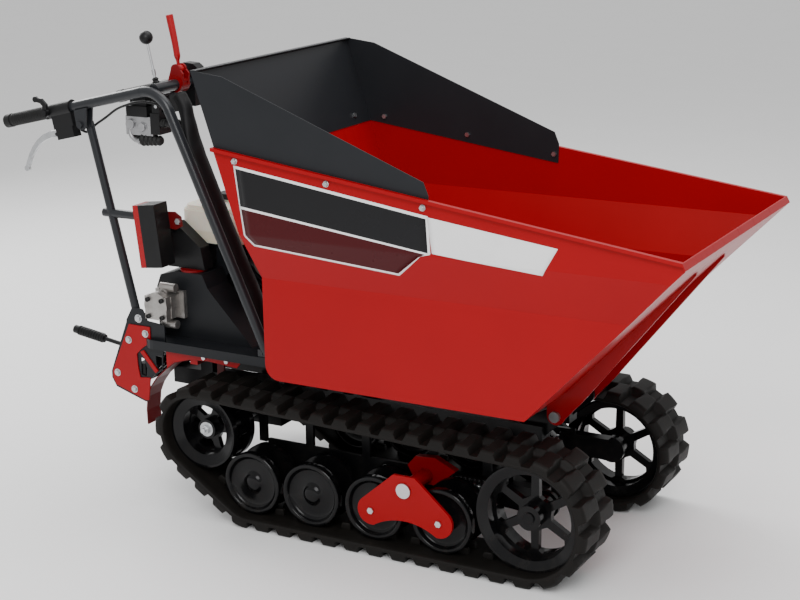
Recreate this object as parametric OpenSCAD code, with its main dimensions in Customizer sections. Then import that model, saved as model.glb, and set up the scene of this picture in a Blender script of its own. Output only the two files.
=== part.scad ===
// Tracked power carrier: a walk-behind dumper on two rubber tracks.
// X runs forward to the tipping lip, Y to the left track, Z up.
// The origin lies on the ground under the middle of the machine's length.

/* [Skip] */
// Width over the outward hems of the skip
skip_w = 788; // [740:2:840]
// Width of the lower half of the skip, below the lower fold
floor_w = 690; // [650:2:720]
// Distance from the origin forward to the lip
lip_x = 1024; // [980:2:1080]
// Height of the underside of the skip floor
floor_z = 427; // [415:1:450]
// Height of the lower fold line
fold_low_z = 700; // [660:2:740]
// Height of the upper fold line
fold_high_z = 818; // [790:2:840]
// Height of the rear rim
rim_rear_z = 1035; // [1000:1:1060]
// Angle of the front ramp over the ground
ramp_angle = 46.4; // [42:0.2:50]
// Sheet thickness of the skip
sheet = 3; // [2:0.5:5]
// Width of the outward hem along the rim
hem_w = 10; // [6:1:16]
// Depth of the hem on the lip
lip_hem = 18; // [10:1:26]

/* [Extension boards] */
// Height of the boards at the rear
board_top_z = 1225; // [1160:1:1300]
// Sheet thickness of the boards
board_t = 2; // [1.5:0.5:4]
// How far the boards reach down inside the rim
board_lap = 45; // [36:1:60]
// Diameter of the board bolts
board_bolt_d = 8; // [6:1:10]

/* [Tracks] */
// Width of one rubber track
track_w = 180; // [150:2:200]
// Distance between the two track centre lines
gauge = 552; // [540:2:600]
// Thickness of the belt without lugs
belt_t = 12; // [9:1:14]
// Height of the tread lugs
lug_h = 18; // [12:1:24]
// Number of lugs along each row
links = 40; // [30:1:46]
// Height of the guide horns inside the belt
horn_h = 18; // [10:1:20]
// Running face radius of the drive sprocket
sprocket_r = 103; // [96:1:110]
// Height of the sprocket axle
sprocket_z = 240; // [228:1:250]
// Distance from the origin back to the sprocket axle
sprocket_back = 348; // [340:1:380]
// Running face radius of the front idler
idler_r = 140; // [130:1:150]
// Distance from the origin forward to the idler axle
idler_front = 618; // [610:1:660]
// Radius of the road wheels
wheel_r = 86; // [78:1:88]
// Axle diameter of the road wheels
axle_d = 20; // [14:1:26]

/* [Bogies] */
// Distance from the origin forward to the bogie pivots
bogie_front = 280; // [276:1:290]
// Distance between the two axles of a bogie
bogie_span = 196; // [184:2:200]
// Height of the bogie pivot over its axles
bogie_rise = 72; // [60:1:80]
// Diameter of the bogie pivot shaft
bogie_pin_d = 24; // [18:1:30]

/* [Tipping hinge] */
// Distance from the origin forward to the tipping hinge
hinge_front = 592; // [580:1:604]
// Height of the tipping hinge
hinge_z = 362; // [352:1:372]
// Diameter of the hinge pins
hinge_pin_d = 20; // [16:1:26]
// Distance of the lift eye behind the hinge
lift_arm = 110; // [100:1:120]

/* [Handlebar] */
// Distance between the two handlebar tubes
bar_span = 500; // [480:2:520]
// Diameter of the handlebar tube
bar_d = 28; // [22:1:32]
// Wall of the handlebar tube
bar_wall = 3; // [2:0.5:5]
// Height of the grip ends
grip_z = 1028; // [960:1:1080]
// Length of the grips
grip_len = 155; // [120:1:170]

/* [Engine] */
// Length of the fuel tank across the machine
tank_w = 230; // [180:2:250]
// Diameter of the gear pump cover screws
pump_screw_d = 8; // [6:1:10]

/* [Hidden] */

$fn = 48;
eps = 0.01;
run_gap = 0.05;   // radial running clearance of a shaft in its bore
part_gap = 0.3;   // gap between pieces that pass each other

red = "#c81414";
dark_red = "#8e1010";
charcoal = "#34363a";
black = "#1b1b1c";
rubber = "#2b2724";
zinc = "#b9bcc0";
cream = "#ded8cc";

// Track line, each circle as x, z and running face radius
belt_all = belt_t + lug_h;
wheel_z = wheel_r + belt_all;
idler_z = idler_r + belt_all;
track_y = gauge / 2;
wheel_gap = 19;
wheel_2_x = bogie_front - bogie_span / 2 - 2 * wheel_r - wheel_gap;
wheel_1_x = wheel_2_x - 2 * wheel_r - wheel_gap + 6;
loop = [[idler_front, idler_z, idler_r], [-sprocket_back, sprocket_z, sprocket_r],
    [wheel_1_x, wheel_z, wheel_r]];

// Wheel cross-section, measured from the track's centre plane
rim_out = 52;
rim_in = 27;
tooth_half = 11;
horn_in = 14;
horn_out = rim_in - 2;
channel = horn_h + 2;

// Skip outline in the X-Z plane
half_skip = skip_w / 2;
wall_y = half_skip - hem_w;
low_y = floor_w / 2;
ramp = tan(ramp_angle);
ramp_foot_x = 615;
lip_z = floor_z + (lip_x - ramp_foot_x) * ramp;
rear_low_x = -123;
rear_rim_x = -233;
rear_lean = (rear_rim_x - rear_low_x) / (rim_rear_z - fold_low_z);
lip_top = [lip_x - lip_hem * 0.45, lip_z + lip_hem * 0.89];
rim_fall = (rim_rear_z - lip_top[1]) / (lip_top[0] - rear_rim_x);
function rim_z(x) = rim_rear_z - rim_fall * (x - rear_rim_x);
function rear_x(z) = rear_low_x + rear_lean * (z - fold_low_z);

// Hinge, lift and frame
rib_y = 98;
rib_t = 8;
ear_y = 86;
ear_t = 10;
rail_out = 112;
rail_in = 62;
rail_low = 282;
rail_top = 330;
side_y = track_y - 80;
side_t = 10;
lift_eye = [hinge_front - lift_arm, hinge_z + 8];
lift_base = [285, 190];
lift_vec = lift_eye - lift_base;
lift_len = norm(lift_vec);
lift_angle = atan2(lift_vec[1], lift_vec[0]);

// Handlebar line in the X-Z plane
bar_y = bar_span / 2;
grip_x = -lip_x;
bar_low = [-178.5, 462];
bar_corner = [-488, grip_z + 124];
bar_bend = 80;
bar_slope = atan2(bar_corner[1] - grip_z, bar_corner[0] - grip_x);
function on_bar(x) = [x, grip_z + (x - grip_x) * tan(bar_slope)];
cross_x = -520;
cross_z = on_bar(cross_x)[1];

// Deck and plates
deck_z = 440;
deck_t = 6;
deck_rear = -590;
deck_front = -150;
plate_y = bar_y - 5;
deck_half = bar_y + 8;

// Points of a rounded turn from angle a to b about c
function turn(c, r, a, b, n = 6) = [for (i = [0:n]) c + r * [cos(a + (b - a) * i / n), sin(a + (b - a) * i / n)]];
// Point where the line through p along d meets the line through q along e
function meet(p, d, q, e) = p + d * ((q[0] - p[0]) * e[1] - (q[1] - p[1]) * e[0]) / (d[0] * e[1] - d[1] * e[0]);
// A counter-clockwise outline moved inwards by t, line by line
function inset(pts, t) = let (n = len(pts)) [for (i = [0:n - 1])
    let (a = pts[(i + n - 1) % n], b = pts[i], c = pts[(i + 1) % n],
        d = (b - a) / norm(b - a), e = (c - b) / norm(c - b))
    abs(d[0] * e[1] - d[1] * e[0]) < 0.001 ? b + t * [-d[1], d[0]]
        : meet(a + t * [-d[1], d[0]], d, b + t * [-e[1], e[0]], e)];

// Draws a plate outline given in X-Z, from y to y + t
module plate(y, t) {
    translate([0, y + t, 0]) rotate([90, 0, 0]) linear_extrude(t) children();
}
// A cylinder along Y from y0 to y1 at p = [x, z]
module rod_y(p, y0, y1, r) {
    translate([p[0], y1, p[1]]) rotate([90, 0, 0]) cylinder(h = y1 - y0, r = r);
}
// A box from corner a to corner b
module block(a, b) {
    translate(a) cube(b - a);
}
// Its children on the right side, and mirrored on the left
module both() {
    children();
    mirror([0, 1, 0]) children();
}
module hex_rod(p, y0, y1, r) {
    translate([p[0], y1, p[1]]) rotate([90, 0, 0]) cylinder(h = y1 - y0, r = r, $fn = 6);
}

// Track: the belt follows the outer tangents of the loop's circles.
function loop_normal(i) = let (a = loop[i], b = loop[(i + 1) % 3],
        d = [b[0] - a[0], b[1] - a[1]], n = atan2(d[1], d[0]) - acos((a[2] - b[2]) / norm(d)))
    n + (i == 0 ? (n < 0 ? 360 : 0) : (i == 1 ? (n < 90 ? 360 : 0) : (n < 180 ? 360 : 0)));
normals = [loop_normal(0), loop_normal(1), loop_normal(2)];
function unit(a) = [cos(a), sin(a)];
function centre(i) = [loop[i % 3][0], loop[i % 3][1]];
function run_length(i) = let (a = loop[i], b = loop[(i + 1) % 3])
    sqrt(pow(norm(centre(i + 1) - centre(i)), 2) - pow(a[2] - b[2], 2));
function wrap(i) = i == 0 ? normals[0] + 360 - normals[2] : normals[i] - normals[i - 1];
pitch_line = belt_t / 2;
function arc_length(i) = (loop[i][2] + pitch_line) * wrap(i) * PI / 180;
loop_length = arc_length(0) + run_length(0) + arc_length(1) + run_length(1)
    + arc_length(2) + run_length(2);
pitch = loop_length / links;
// Place on the pitch line, s from the start of arc i: [point, normal angle]
function along(s, i = 0) = s < arc_length(i)
    ? let (a = (i == 0 ? normals[2] - 360 : normals[i - 1]) + s / arc_length(i) * wrap(i))
        [centre(i) + (loop[i][2] + pitch_line) * unit(a), a]
    : s < arc_length(i) + run_length(i)
    ? let (t = s - arc_length(i), a = normals[i])
        [centre(i) + (loop[i][2] + pitch_line) * unit(a) + t * unit(a + 90), a]
    : along(s - arc_length(i) - run_length(i), (i + 1) % 3);
echo(loop_length = loop_length, pitch = pitch, lip_z = lip_z, idler_z = idler_z);

module loop_area(off) {
    polygon([for (i = [0:2]) each [centre(i) + (loop[i][2] + off) * unit(normals[i]),
        centre(i + 1) + (loop[(i + 1) % 3][2] + off) * unit(normals[i])]]);
    for (i = [0:2]) translate(centre(i)) circle(r = loop[i][2] + off, $fn = 96);
}
module teeth_row(phase, low, high, wide, narrow) {
    for (k = [0:links - 1]) {
        place = along((k + phase) * pitch);
        translate(place[0] - pitch_line * unit(place[1])) rotate(place[1] - 90)
            polygon([[-wide, low], [wide, low], [narrow, high], [-narrow, high]]);
    }
}
module tread_half(phase) {
    difference() {
        union() {
            loop_area(belt_t);
            teeth_row(phase, belt_t - 3, belt_all, 23, 17);
        }
        loop_area(0);
    }
}
module track() {
    plate(-track_y - track_w / 2, track_w / 2) tread_half(0);
    plate(-track_y, track_w / 2) tread_half(0.5);
    for (y = [-horn_out, horn_in]) plate(-track_y + y, horn_out - horn_in)
        intersection() {
            teeth_row(0.25, -horn_h, 2, 12, 15);
            loop_area(1);
        }
}
module track_right() { color(rubber) track(); }
module track_left() { color(rubber) mirror([0, 1, 0]) track(); }

// Wheels, turned about their own axis, then stood on the track's centre plane
module on_track(p) {
    translate([p[0], -track_y, p[1]]) rotate([90, 0, 0]) children();
}
module both_faces() {
    children();
    mirror([0, 1]) children();
}
module road_wheel(p, bore) {
    on_track(p) rotate_extrude($fn = 96) {
        translate([bore, -42]) square([24 - bore, 84]);
        both_faces() {
            polygon([[24, 32], [70, 32], [70, rim_in], [wheel_r - part_gap, rim_in],
                [wheel_r - part_gap, rim_out], [wheel_r - 5, rim_out], [wheel_r - 8, 37], [38, 37],
                [36, 41], [24, 41]]);
            translate([24, -1]) square([8, 35]);
        }
    }
}
module spokes(count, hub, inner, outer, rim, width) {
    difference() {
        circle(r = rim, $fn = 96);
        for (k = [0:count - 1]) rotate((k + 0.5) * 360 / count) {
            a = 180 / count - asin(width / 2 / inner);
            b = 180 / count - asin(width / 2 / outer);
            polygon([inner * unit(-a), (outer - 8) * unit(-b), outer * unit(-b + 5), outer * unit(-b / 2),
                outer * unit(0), outer * unit(b / 2), outer * unit(b - 5), (outer - 8) * unit(b),
                inner * unit(a), (inner - 3) * unit(0)]);
        }
    }
    circle(r = hub);
}
fork_pin_r = 15;
module idler() {
    ring_in = idler_r - channel - 8;
    on_track([idler_front, idler_z]) difference() {
        union() {
            rotate_extrude($fn = 96) both_faces()
                polygon([[ring_in, 0], [idler_r - channel, 0], [idler_r - channel, rim_in],
                    [idler_r - part_gap, rim_in], [idler_r - part_gap, rim_out],
                    [idler_r - 6, rim_out], [ring_in, 44]]);
            translate([0, 0, -8]) linear_extrude(16)
                rotate(30) spokes(6, 34, 46, ring_in - 6, ring_in + 1, 22);
            translate([0, 0, -46]) cylinder(h = 92, r = 32);
        }
        translate([0, 0, -60]) cylinder(h = 120, r = fork_pin_r + run_gap);
    }
}
shaft_r = 16;
shaft_in = 78;
module sprocket() {
    drum = sprocket_r - channel;
    on_track([-sprocket_back, sprocket_z]) {
        rotate_extrude($fn = 96) both_faces()
            polygon([[drum - 12, 0], [drum, 0], [drum, rim_in + 4],
                [sprocket_r - part_gap, rim_in + 4], [sprocket_r - part_gap, rim_out - 2],
                [sprocket_r - 6, rim_out - 2], [drum - 12, 40]]);
        translate([0, 0, -tooth_half]) linear_extrude(2 * tooth_half) difference() {
            union() {
                circle(r = drum + 4, $fn = 96);
                for (k = [0:9]) rotate(36 * k) polygon([[drum - 2, -16], [sprocket_r - 2, -8],
                    [sprocket_r - part_gap - 0.4, -5], [sprocket_r - part_gap - 0.4, 5],
                    [sprocket_r - 2, 8], [drum - 2, 16]]);
            }
            circle(r = drum - 12 + eps, $fn = 96);
        }
        translate([0, 0, -8]) linear_extrude(16) spokes(5, 28, 36, drum - 15, drum - 11, 22);
        translate([0, 0, -50]) cylinder(h = 80, r = 27);
        translate([0, 0, shaft_in - track_y]) cylinder(h = track_y - shaft_in, r = shaft_r);
    }
}
module drive_sprocket_right() { color(black) sprocket(); }
module drive_sprocket_left() { color(black) mirror([0, 1, 0]) sprocket(); }
module idler_right() { color(black) idler(); }
module idler_left() { color(black) mirror([0, 1, 0]) idler(); }
bogie_axles = [bogie_front - bogie_span / 2, bogie_front + bogie_span / 2];
wheel_xs = [wheel_1_x, wheel_2_x, bogie_axles[0], bogie_axles[1]];
module wheel_at(k) { color(black) road_wheel([wheel_xs[k], wheel_z], axle_d / 2 + run_gap); }
module road_wheel_1_right() { wheel_at(0); }
module road_wheel_2_right() { wheel_at(1); }
module road_wheel_3_right() { wheel_at(2); }
module road_wheel_4_right() { wheel_at(3); }
module road_wheel_1_left() { mirror([0, 1, 0]) wheel_at(0); }
module road_wheel_2_left() { mirror([0, 1, 0]) wheel_at(1); }
module road_wheel_3_left() { mirror([0, 1, 0]) wheel_at(2); }
module road_wheel_4_left() { mirror([0, 1, 0]) wheel_at(3); }

// Bogie: an outer rocker plate, its sleeve on the pivot shaft and two stub axles
bogie_z = wheel_z + bogie_rise;
bogie_in = track_y + rim_out + 4;
bogie_t = 8;
sleeve_r = bogie_pin_d / 2 + 8;
module bogie() {
    lobe = 39;
    rear = [bogie_axles[0], wheel_z];
    front = [bogie_axles[1], wheel_z];
    difference() {
        union() {
            plate(-bogie_in - bogie_t, bogie_t) difference() {
                union() {
                    translate(rear) circle(r = lobe);
                    translate(front) circle(r = lobe);
                    polygon([rear + lobe * unit(128), [bogie_front - 31, bogie_z + 38],
                        [bogie_front + 31, bogie_z + 38], front + lobe * unit(52),
                        front + [0, -lobe], rear + [0, -lobe]]);
                }
                translate([bogie_front, wheel_z - 178]) circle(r = 166, $fn = 96);
            }
            rod_y([bogie_front, bogie_z], -bogie_in - eps, -track_y + 51, sleeve_r);
        }
        rod_y([bogie_front, bogie_z], -bogie_in - 20, -side_y, bogie_pin_d / 2 + run_gap);
    }
    for (x = bogie_axles) {
        rod_y([x, wheel_z], -bogie_in - eps, -track_y + 46, axle_d / 2);
        rod_y([x, wheel_z], -bogie_in, -track_y - 44, axle_d / 2 + 6);
        hex_rod([x, wheel_z], -bogie_in - bogie_t - 5, -bogie_in - bogie_t, 9);
    }
}
module bogie_right() { color(red) bogie(); }
module bogie_left() { color(red) mirror([0, 1, 0]) bogie(); }
bracket_out = track_y - rim_out - 3;
module bogie_bracket() {
    difference() {
        plate(-bracket_out, bracket_out - side_y - side_t / 2) polygon([
            [bogie_front - 54, bogie_z + 20], [bogie_front - 30, bogie_z + 48],
            [bogie_front + 26, bogie_z + 52], [bogie_front + 86, bogie_z + 24],
            [bogie_front + 30, bogie_z - 24], [bogie_front - 30, bogie_z - 24]]);
        rod_y([bogie_front, bogie_z], -bracket_out - 5, 0, bogie_pin_d / 2);
    }
    rod_y([bogie_front, bogie_z], -bogie_in - bogie_t - 1, -side_y + side_t / 2, bogie_pin_d / 2);
    rod_y([bogie_front, bogie_z], -bogie_in - bogie_t - 6, -bogie_in - bogie_t - 1, 20);
}
module bogie_brackets() { color(red) both() bogie_bracket(); }

// Chassis: two rails, cross members, and a lower side plate beside each track
module side_plate() {
    difference() {
        plate(-side_y - side_t / 2, side_t) union() {
            polygon([[wheel_1_x - 26, wheel_z - 22], [bogie_front + 62, wheel_z - 22],
                [bogie_front + 62, 200], [wheel_1_x - 26, 200]]);
            for (k = [0:3]) translate([outrigger_xs[k] - 12, 190]) square([24, 90]);
            // Guide over the idler fork
            translate([outrigger_xs[4] - 12, idler_z + 36.2]) square([24, 280 - idler_z - 36.2]);
            translate([outrigger_xs[4] - 12, idler_z + 36.2]) square([86, 12]);
        }
        rod_y([bogie_front, bogie_z], -side_y - 20, 0, bogie_pin_d / 2);
    }
    for (k = [0, 1]) {
        rod_y([wheel_xs[k], wheel_z], -track_y - 46, -side_y, axle_d / 2);
        rod_y([wheel_xs[k], wheel_z], -track_y + 44, -side_y, axle_d / 2 + 8);
    }
    for (x = outrigger_xs) block([x - 20, -side_y - side_t / 2, rail_low - 16],
        [x + 20, -rail_in, rail_low]);
}
outrigger_xs = [wheel_1_x - 42, wheel_1_x + 108, wheel_2_x + 98, bogie_front + 10, bogie_front + 165];
cross_xs = [-560, -250, -30, 242, 500];
module chassis_frame() {
    color(black) {
        both() {
            difference() {
                block([-596, -rail_out, rail_low], [hinge_front - 34, -rail_in, rail_top]);
                block([-560, -rail_out + 5, rail_low + 5], [hinge_front - 60, -rail_in - 5, rail_top - 5]);
            }
            side_plate();
            difference() {
                plate(-ear_y - ear_t, ear_t) union() {
                    polygon([[hinge_front - 110, rail_top], [hinge_front - 34, rail_top - 30],
                        [hinge_front + 12, hinge_z - 20], [hinge_front - 12, hinge_z + 21]]);
                    translate([hinge_front, hinge_z]) circle(r = 24);
                }
                rod_y([hinge_front, hinge_z], -ear_y - 20, -ear_y + 10, hinge_pin_d / 2);
            }
            for (x = [-480, -200]) block([x - 20, -rail_out, rail_top], [x + 20, -rail_in, deck_z]);
            block([-80, -rail_out, rail_top], [-30, -rail_in, floor_z]);
        }
        for (x = cross_xs) block([x - 18, -rail_in - 1, rail_low + 6], [x + 18, rail_in + 1, rail_top - 6]);
        for (y = [-42, 30]) difference() {
            plate(y, 12) union() {
                polygon([[lift_base[0] - 22, lift_base[1] - 4], [lift_base[0] + 20, lift_base[1] + 8],
                    [lift_base[0] - 22, rail_low + 8], [lift_base[0] - 62, rail_low + 8]]);
                translate(lift_base) circle(r = 22);
            }
            rod_y(lift_base, -60, 60, lift_pin_r);
        }
        rod_y(lift_base, -42, 42, lift_pin_r);
        // Tail cross-beam that carries the rear plates
        block([-620, -plate_y + 4, 320], [-596, plate_y - 4, 372]);
        // Ears and pin of the gear lever
        for (y = [-224, -186]) plate(y, 10) polygon([[-612, 330], [-597, 330], [-548, 372], [-546, 392],
            [-570, 394], [-600, 362]]);
        rod_y(gear_pivot, -224, -176, 8);
    }
}
lift_pin_r = 10;

// Deck over the rear of the tracks, with a turned-down edge and a rounded corner
module deck_outline(grow) {
    r = 40;
    polygon(concat([[deck_front, -deck_half - grow], [deck_front, deck_half + grow]],
        turn([deck_rear + r, deck_half - r], r + grow, 90, 180),
        turn([deck_rear + r, -deck_half + r], r + grow, 180, 270)));
}
module deck() {
    color(charcoal) {
        difference() {
            union() {
                translate([0, 0, deck_z]) linear_extrude(deck_t) difference() {
                    deck_outline(0);
                    translate([-300, -40]) square([80, 80]);
                }
                translate([0, 0, deck_z - 14]) linear_extrude(14 + deck_t + 6) difference() {
                    deck_outline(4);
                    deck_outline(0);
                    translate([deck_front - 60, -200]) square([80, 400]);
                }
            }
            // Slots for the rear side plates
            both() block([deck_rear - 20, -plate_y - 4 - part_gap, deck_z - 20],
                [-519, -plate_y + 4 + part_gap, deck_z + 20]);
        }
    }
}

// Rear side plates, red on a black backing plate with two windows
module rear_plate_outline() {
    polygon([[-644, 486], [-706, 338], [-690, 298], [-592, 266], [-560, 340], [-582, 420], [-540, 444],
        [-540, 486]]);
}
module rear_plates() {
    t = 4;
    color(red) both() {
        plate(-plate_y - t, t) rear_plate_outline();
        plate(-plate_y, t) difference() {
            union() {
                rear_plate_outline();
                polygon([[-652, 486], [-650, 496], [-630, 532], [-592, 532], [-578, 500], [-520, 494],
                    [-520, 424], [-538, 340], [-592, 266], [-644, 480]]);
                polygon([[-652, 490], [-716, 338], [-699, 292], [-660, 279], [-690, 298], [-706, 338]]);
            }
            polygon([[-610, 412], [-594, 400], [-586, 352], [-604, 356]]);
            polygon([[-556, 416], [-540, 414], [-536, 372], [-552, 366]]);
        }
        for (p = [[-642, 440], [-692, 334], [-636, 300], [-584, 470]])
            hex_rod(p, -plate_y - t - 6, -plate_y - t, 8);
    }
}
// Mudguard: a rolled sheet over the rear of each track, hung from a strip under the deck
guard = [[-600, 195], [-601, 236], [-596, 277], [-582, 308], [-561, 336], [-529, 366], [-494, 392],
    [-443, 407], [-385, 411]];
module mudguards() {
    inner = [for (k = [len(guard) - 1:-1:0]) guard[k] + [2.4, -2.4]];
    color(dark_red) both() {
        plate(-plate_y + 4.3, 62) polygon(concat(guard, inner));
        plate(-plate_y + 1, 3) polygon(concat([[-271, deck_z - 15], [-519, deck_z - 15], [-519, 371]],
            [for (k = [6:8]) guard[k]], [[-284, 404], [-271, 420]]));
        plate(-plate_y + 3.9, 0.5) polygon(concat([for (k = [6:8]) guard[k] + [0, 2]],
            [for (k = [8:-1:6]) guard[k] + [0, -2]]));
        for (p = [[-392, 419], [-317, 418]]) rod_y(p, -plate_y - 3, -plate_y + 1, 6);
        // Arm from the frame rail to the strip
        block([-440, -plate_y + 3.9, 394], [-416, -rail_out, 406]);
        block([-440, -rail_out - 6, rail_low + 10], [-416, -rail_out, 406]);
    }
}

// Idler fork: a cantilever arm inside each idler, its axle and the tension screw
fork_y = track_y - rim_out - 2;
fork_t = 12;
module idler_fork() {
    plate(-fork_y, fork_t) union() {
        polygon([[478, idler_z - 26], [idler_front, idler_z - 34], [idler_front, idler_z + 36],
            [478, idler_z + 36]]);
        translate([idler_front, idler_z]) circle(r = 36);
    }
    rod_y([idler_front, idler_z], -track_y - 50, -fork_y + 1, fork_pin_r);
    block([478, -fork_y, idler_z + 26], [idler_front, -fork_y + 34, idler_z + 36]);
    block([474, -fork_y, idler_z - 20], [486, -fork_y + 34, idler_z + 34]);
}
module idler_forks() { color(black) both() idler_fork(); }
spring_y = fork_y - 23;
module tension_spring() {
    // Threaded tension rod with its plate, seated between the fork and the frame's outrigger
    x0 = bogie_front + 62;
    translate([x0, -spring_y, idler_z + 4]) rotate([0, 90, 0]) cylinder(h = 473.8 - x0, r = 8);
    translate([x0 + 6, -spring_y, idler_z + 4]) rotate([0, 90, 0]) cylinder(h = 12, r = 16, $fn = 6);
    translate([462, -spring_y, idler_z + 4]) rotate([0, 90, 0]) cylinder(h = 11.8, r = 18);
    spring_coil([x0 + 18, -spring_y, idler_z + 4], 444 - x0, 15, 3.2, 7);
}
// Coil along +X from p, of the given length, mean radius, wire radius and turns
module spring_coil(p, length, r, wire, turns) {
    n = turns * 8;
    ring = 6;
    pts = [for (i = [0:n]) let (a = 360 * turns * i / n)
        for (j = [0:ring - 1]) let (b = 360 * j / ring, q = r + wire * cos(b))
        p + [wire + (length - 2 * wire) * i / n + wire * sin(b), q * cos(a), q * sin(a)]];
    sides = [for (i = [0:n - 1]) for (j = [0:ring - 1])
        let (a = i * ring + j, b = i * ring + (j + 1) % ring)
        each [[a, b, b + ring], [a, b + ring, a + ring]]];
    caps = concat([for (j = [1:ring - 2]) [0, j + 1, j]],
        [for (j = [1:ring - 2]) [n * ring, n * ring + j, n * ring + j + 1]]);
    polyhedron(pts, concat(sides, caps));
}
module tension_springs() { color(zinc) both() tension_spring(); }

// Gearbox with its axle tubes, under the deck
module gearbox() {
    c = [-sprocket_back, sprocket_z];
    color(black) difference() {
        union() {
            block([c[0] - 70, -52, c[1] - 62], [c[0] + 74, 52, rail_low + 5]);
            rod_y(c, -track_y + 54, track_y - 54, 30);
            rod_y(c, -84, 84, 40);
            rod_y([c[0] + 20, rail_low - 20], -60, 60, 30);
        }
        rod_y(c, -track_y, -shaft_in + 2, shaft_r + run_gap);
        rod_y(c, shaft_in - 2, track_y, shaft_r + run_gap);
    }
}

// Skip
skip_outline = concat(
    [[ramp_foot_x, floor_z], [lip_x, lip_z], lip_top, [rear_rim_x, rim_rear_z],
        [rear_low_x, fold_low_z], [rear_low_x, floor_z + 40]],
    [for (a = [15:15:75]) [rear_low_x + 40 - 40 * cos(a), floor_z + 40 - 40 * sin(a)]],
    [[rear_low_x + 40, floor_z]]);
skip_section = [[-low_y, floor_z - 5], [low_y, floor_z - 5], [low_y, fold_low_z],
    [wall_y, fold_high_z], [wall_y, board_top_z], [-wall_y, board_top_z],
    [-wall_y, fold_high_z], [-low_y, fold_low_z]];
inner_outline = let (o = inset(skip_outline, sheet), last = len(o) - 1)
    [for (i = [0:last]) i == 1 ? o[0] + (lip_x + 60 - o[0][0]) * [1, ramp]
        : i == 2 ? [lip_x + 60, board_top_z]
        : i == 3 ? o[4] + (board_top_z - o[4][1]) * [rear_lean, 1] : o[i]];
inner_section = [for (p = skip_section) [p[0] - sign(p[0]) * sheet, p[1]]];
module skip_body(outline, section) {
    intersection() {
        plate(-half_skip, skip_w) polygon(outline);
        translate([-300, 0, 0]) rotate([90, 0, 90]) linear_extrude(1500) polygon(section);
    }
}
board_bolt_xs = [-166, 101, 367];
function board_bolt(x) = [x, rim_z(x) - 22];
rear_bolt_ys = [-300, 0, 300];
module rear_wall_frame(z) {
    translate([rear_x(z), 0, z]) rotate([0, atan(rear_lean), 0]) children();
}
module bolt_holes(d) {
    for (x = board_bolt_xs) rod_y(board_bolt(x), -half_skip - 5, half_skip + 5, d / 2);
    for (y = rear_bolt_ys) rear_wall_frame(rim_rear_z - 22)
        translate([-20, y, 0]) rotate([0, 90, 0]) cylinder(h = 40, r = d / 2);
}
module rim_strip(y0, y1, drop) {
    plate(y0, y1 - y0) polygon([[rear_rim_x, rim_rear_z - drop], [lip_top[0], lip_top[1] - drop],
        lip_top, [rear_rim_x, rim_rear_z]]);
}
module skip_tub() {
    color(red) difference() {
        union() {
            difference() {
                skip_body(skip_outline, skip_section);
                skip_body(inner_outline, inner_section);
                // The lip's hem stays, the rest of the front is open
            }
            // Outward hems along both sides and the rear
            rim_strip(-half_skip, -wall_y + eps, sheet);
            rim_strip(wall_y - eps, half_skip, sheet);
            rim_strip(-half_skip, -half_skip + 2, 9);
            rim_strip(half_skip - 2, half_skip, 9);
            // Hem on the lip
            plate(-half_skip, skip_w) polygon([[lip_x - sheet, lip_z - sheet * ramp], [lip_x, lip_z],
                lip_top, lip_top - [sheet, 0]]);
        }
        bolt_holes(board_bolt_d + 1);
    }
}
board_in = wall_y - sheet;
module side_board(side) {
    kink = [-198, board_top_z - 11];
    top = [rear_x(board_top_z) + 1.1 * sheet, board_top_z];
    front = [367.6, rim_z(367.6) + 39];
    foot_x = 379;
    foot = [foot_x, rim_z(foot_x) - board_lap];
    rear = [rear_x(rim_rear_z - board_lap) + 1.1 * sheet, rim_rear_z - board_lap];
    difference() {
        plate(side < 0 ? -board_in : board_in - board_t, board_t)
            polygon([rear, foot, [foot_x + 2, rim_z(foot_x) + 8], front, kink, top]);
        bolt_holes(board_bolt_d + 1);
    }
}
module board_right() { color(charcoal) side_board(-1); }
module board_left() { color(charcoal) side_board(1); }
module board_rear() {
    y = board_in - board_t;
    low = rim_rear_z - board_lap;
    shift = sheet * sqrt(1 + rear_lean * rear_lean);
    color(charcoal) difference() {
        plate(-y, 2 * y) polygon([[rear_x(low) + shift, low], [rear_x(low) + shift + board_t, low],
            [rear_x(board_top_z - 8) + shift + board_t, board_top_z - 8],
            [rear_x(board_top_z) + shift + board_t + 14, board_top_z - 2],
            [rear_x(board_top_z) + shift + board_t + 14, board_top_z],
            [rear_x(board_top_z) + shift, board_top_z]]);
        bolt_holes(board_bolt_d + 1);
    }
}
module bolt(inside, outside) {
    // Head inside, shank through both sheets, washer and nut outside
    translate([0, 0, -5]) cylinder(h = 5, r = 7, $fn = 6);
    cylinder(h = inside + outside + 6, r = board_bolt_d / 2 - 0.2);
    translate([0, 0, inside]) cylinder(h = 1.2, r = 8);
    translate([0, 0, inside + 1.2]) cylinder(h = 5, r = 7, $fn = 6);
}
module board_bolts() {
    grip = sheet + board_t;
    color(zinc) {
        for (x = board_bolt_xs) {
            p = board_bolt(x);
            translate([p[0], -board_in + board_t, p[1]]) rotate([90, 0, 0]) bolt(grip, 2);
            translate([p[0], board_in - board_t, p[1]]) rotate([-90, 0, 0]) bolt(grip, 2);
        }
        for (y = rear_bolt_ys) rear_wall_frame(rim_rear_z - 22)
            translate([sheet + board_t, y, 0]) rotate([0, -90, 0]) bolt(grip, 2);
    }
}
// Plain two-tone side panels on the middle band of each side
band_lean = (wall_y - low_y) / (fold_high_z - fold_low_z);
module side_panel() {
    plate(-wall_y - 1.2, 1.2) polygon([[-186, rim_z(-186) - 46], [-130, 838], [-60, fold_high_z + 4],
        [430, fold_high_z + 4], [560, rim_z(560) - 34], [386, rim_z(386) - 46]]);
}
module side_panels() { color(charcoal) both() side_panel(); }

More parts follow.
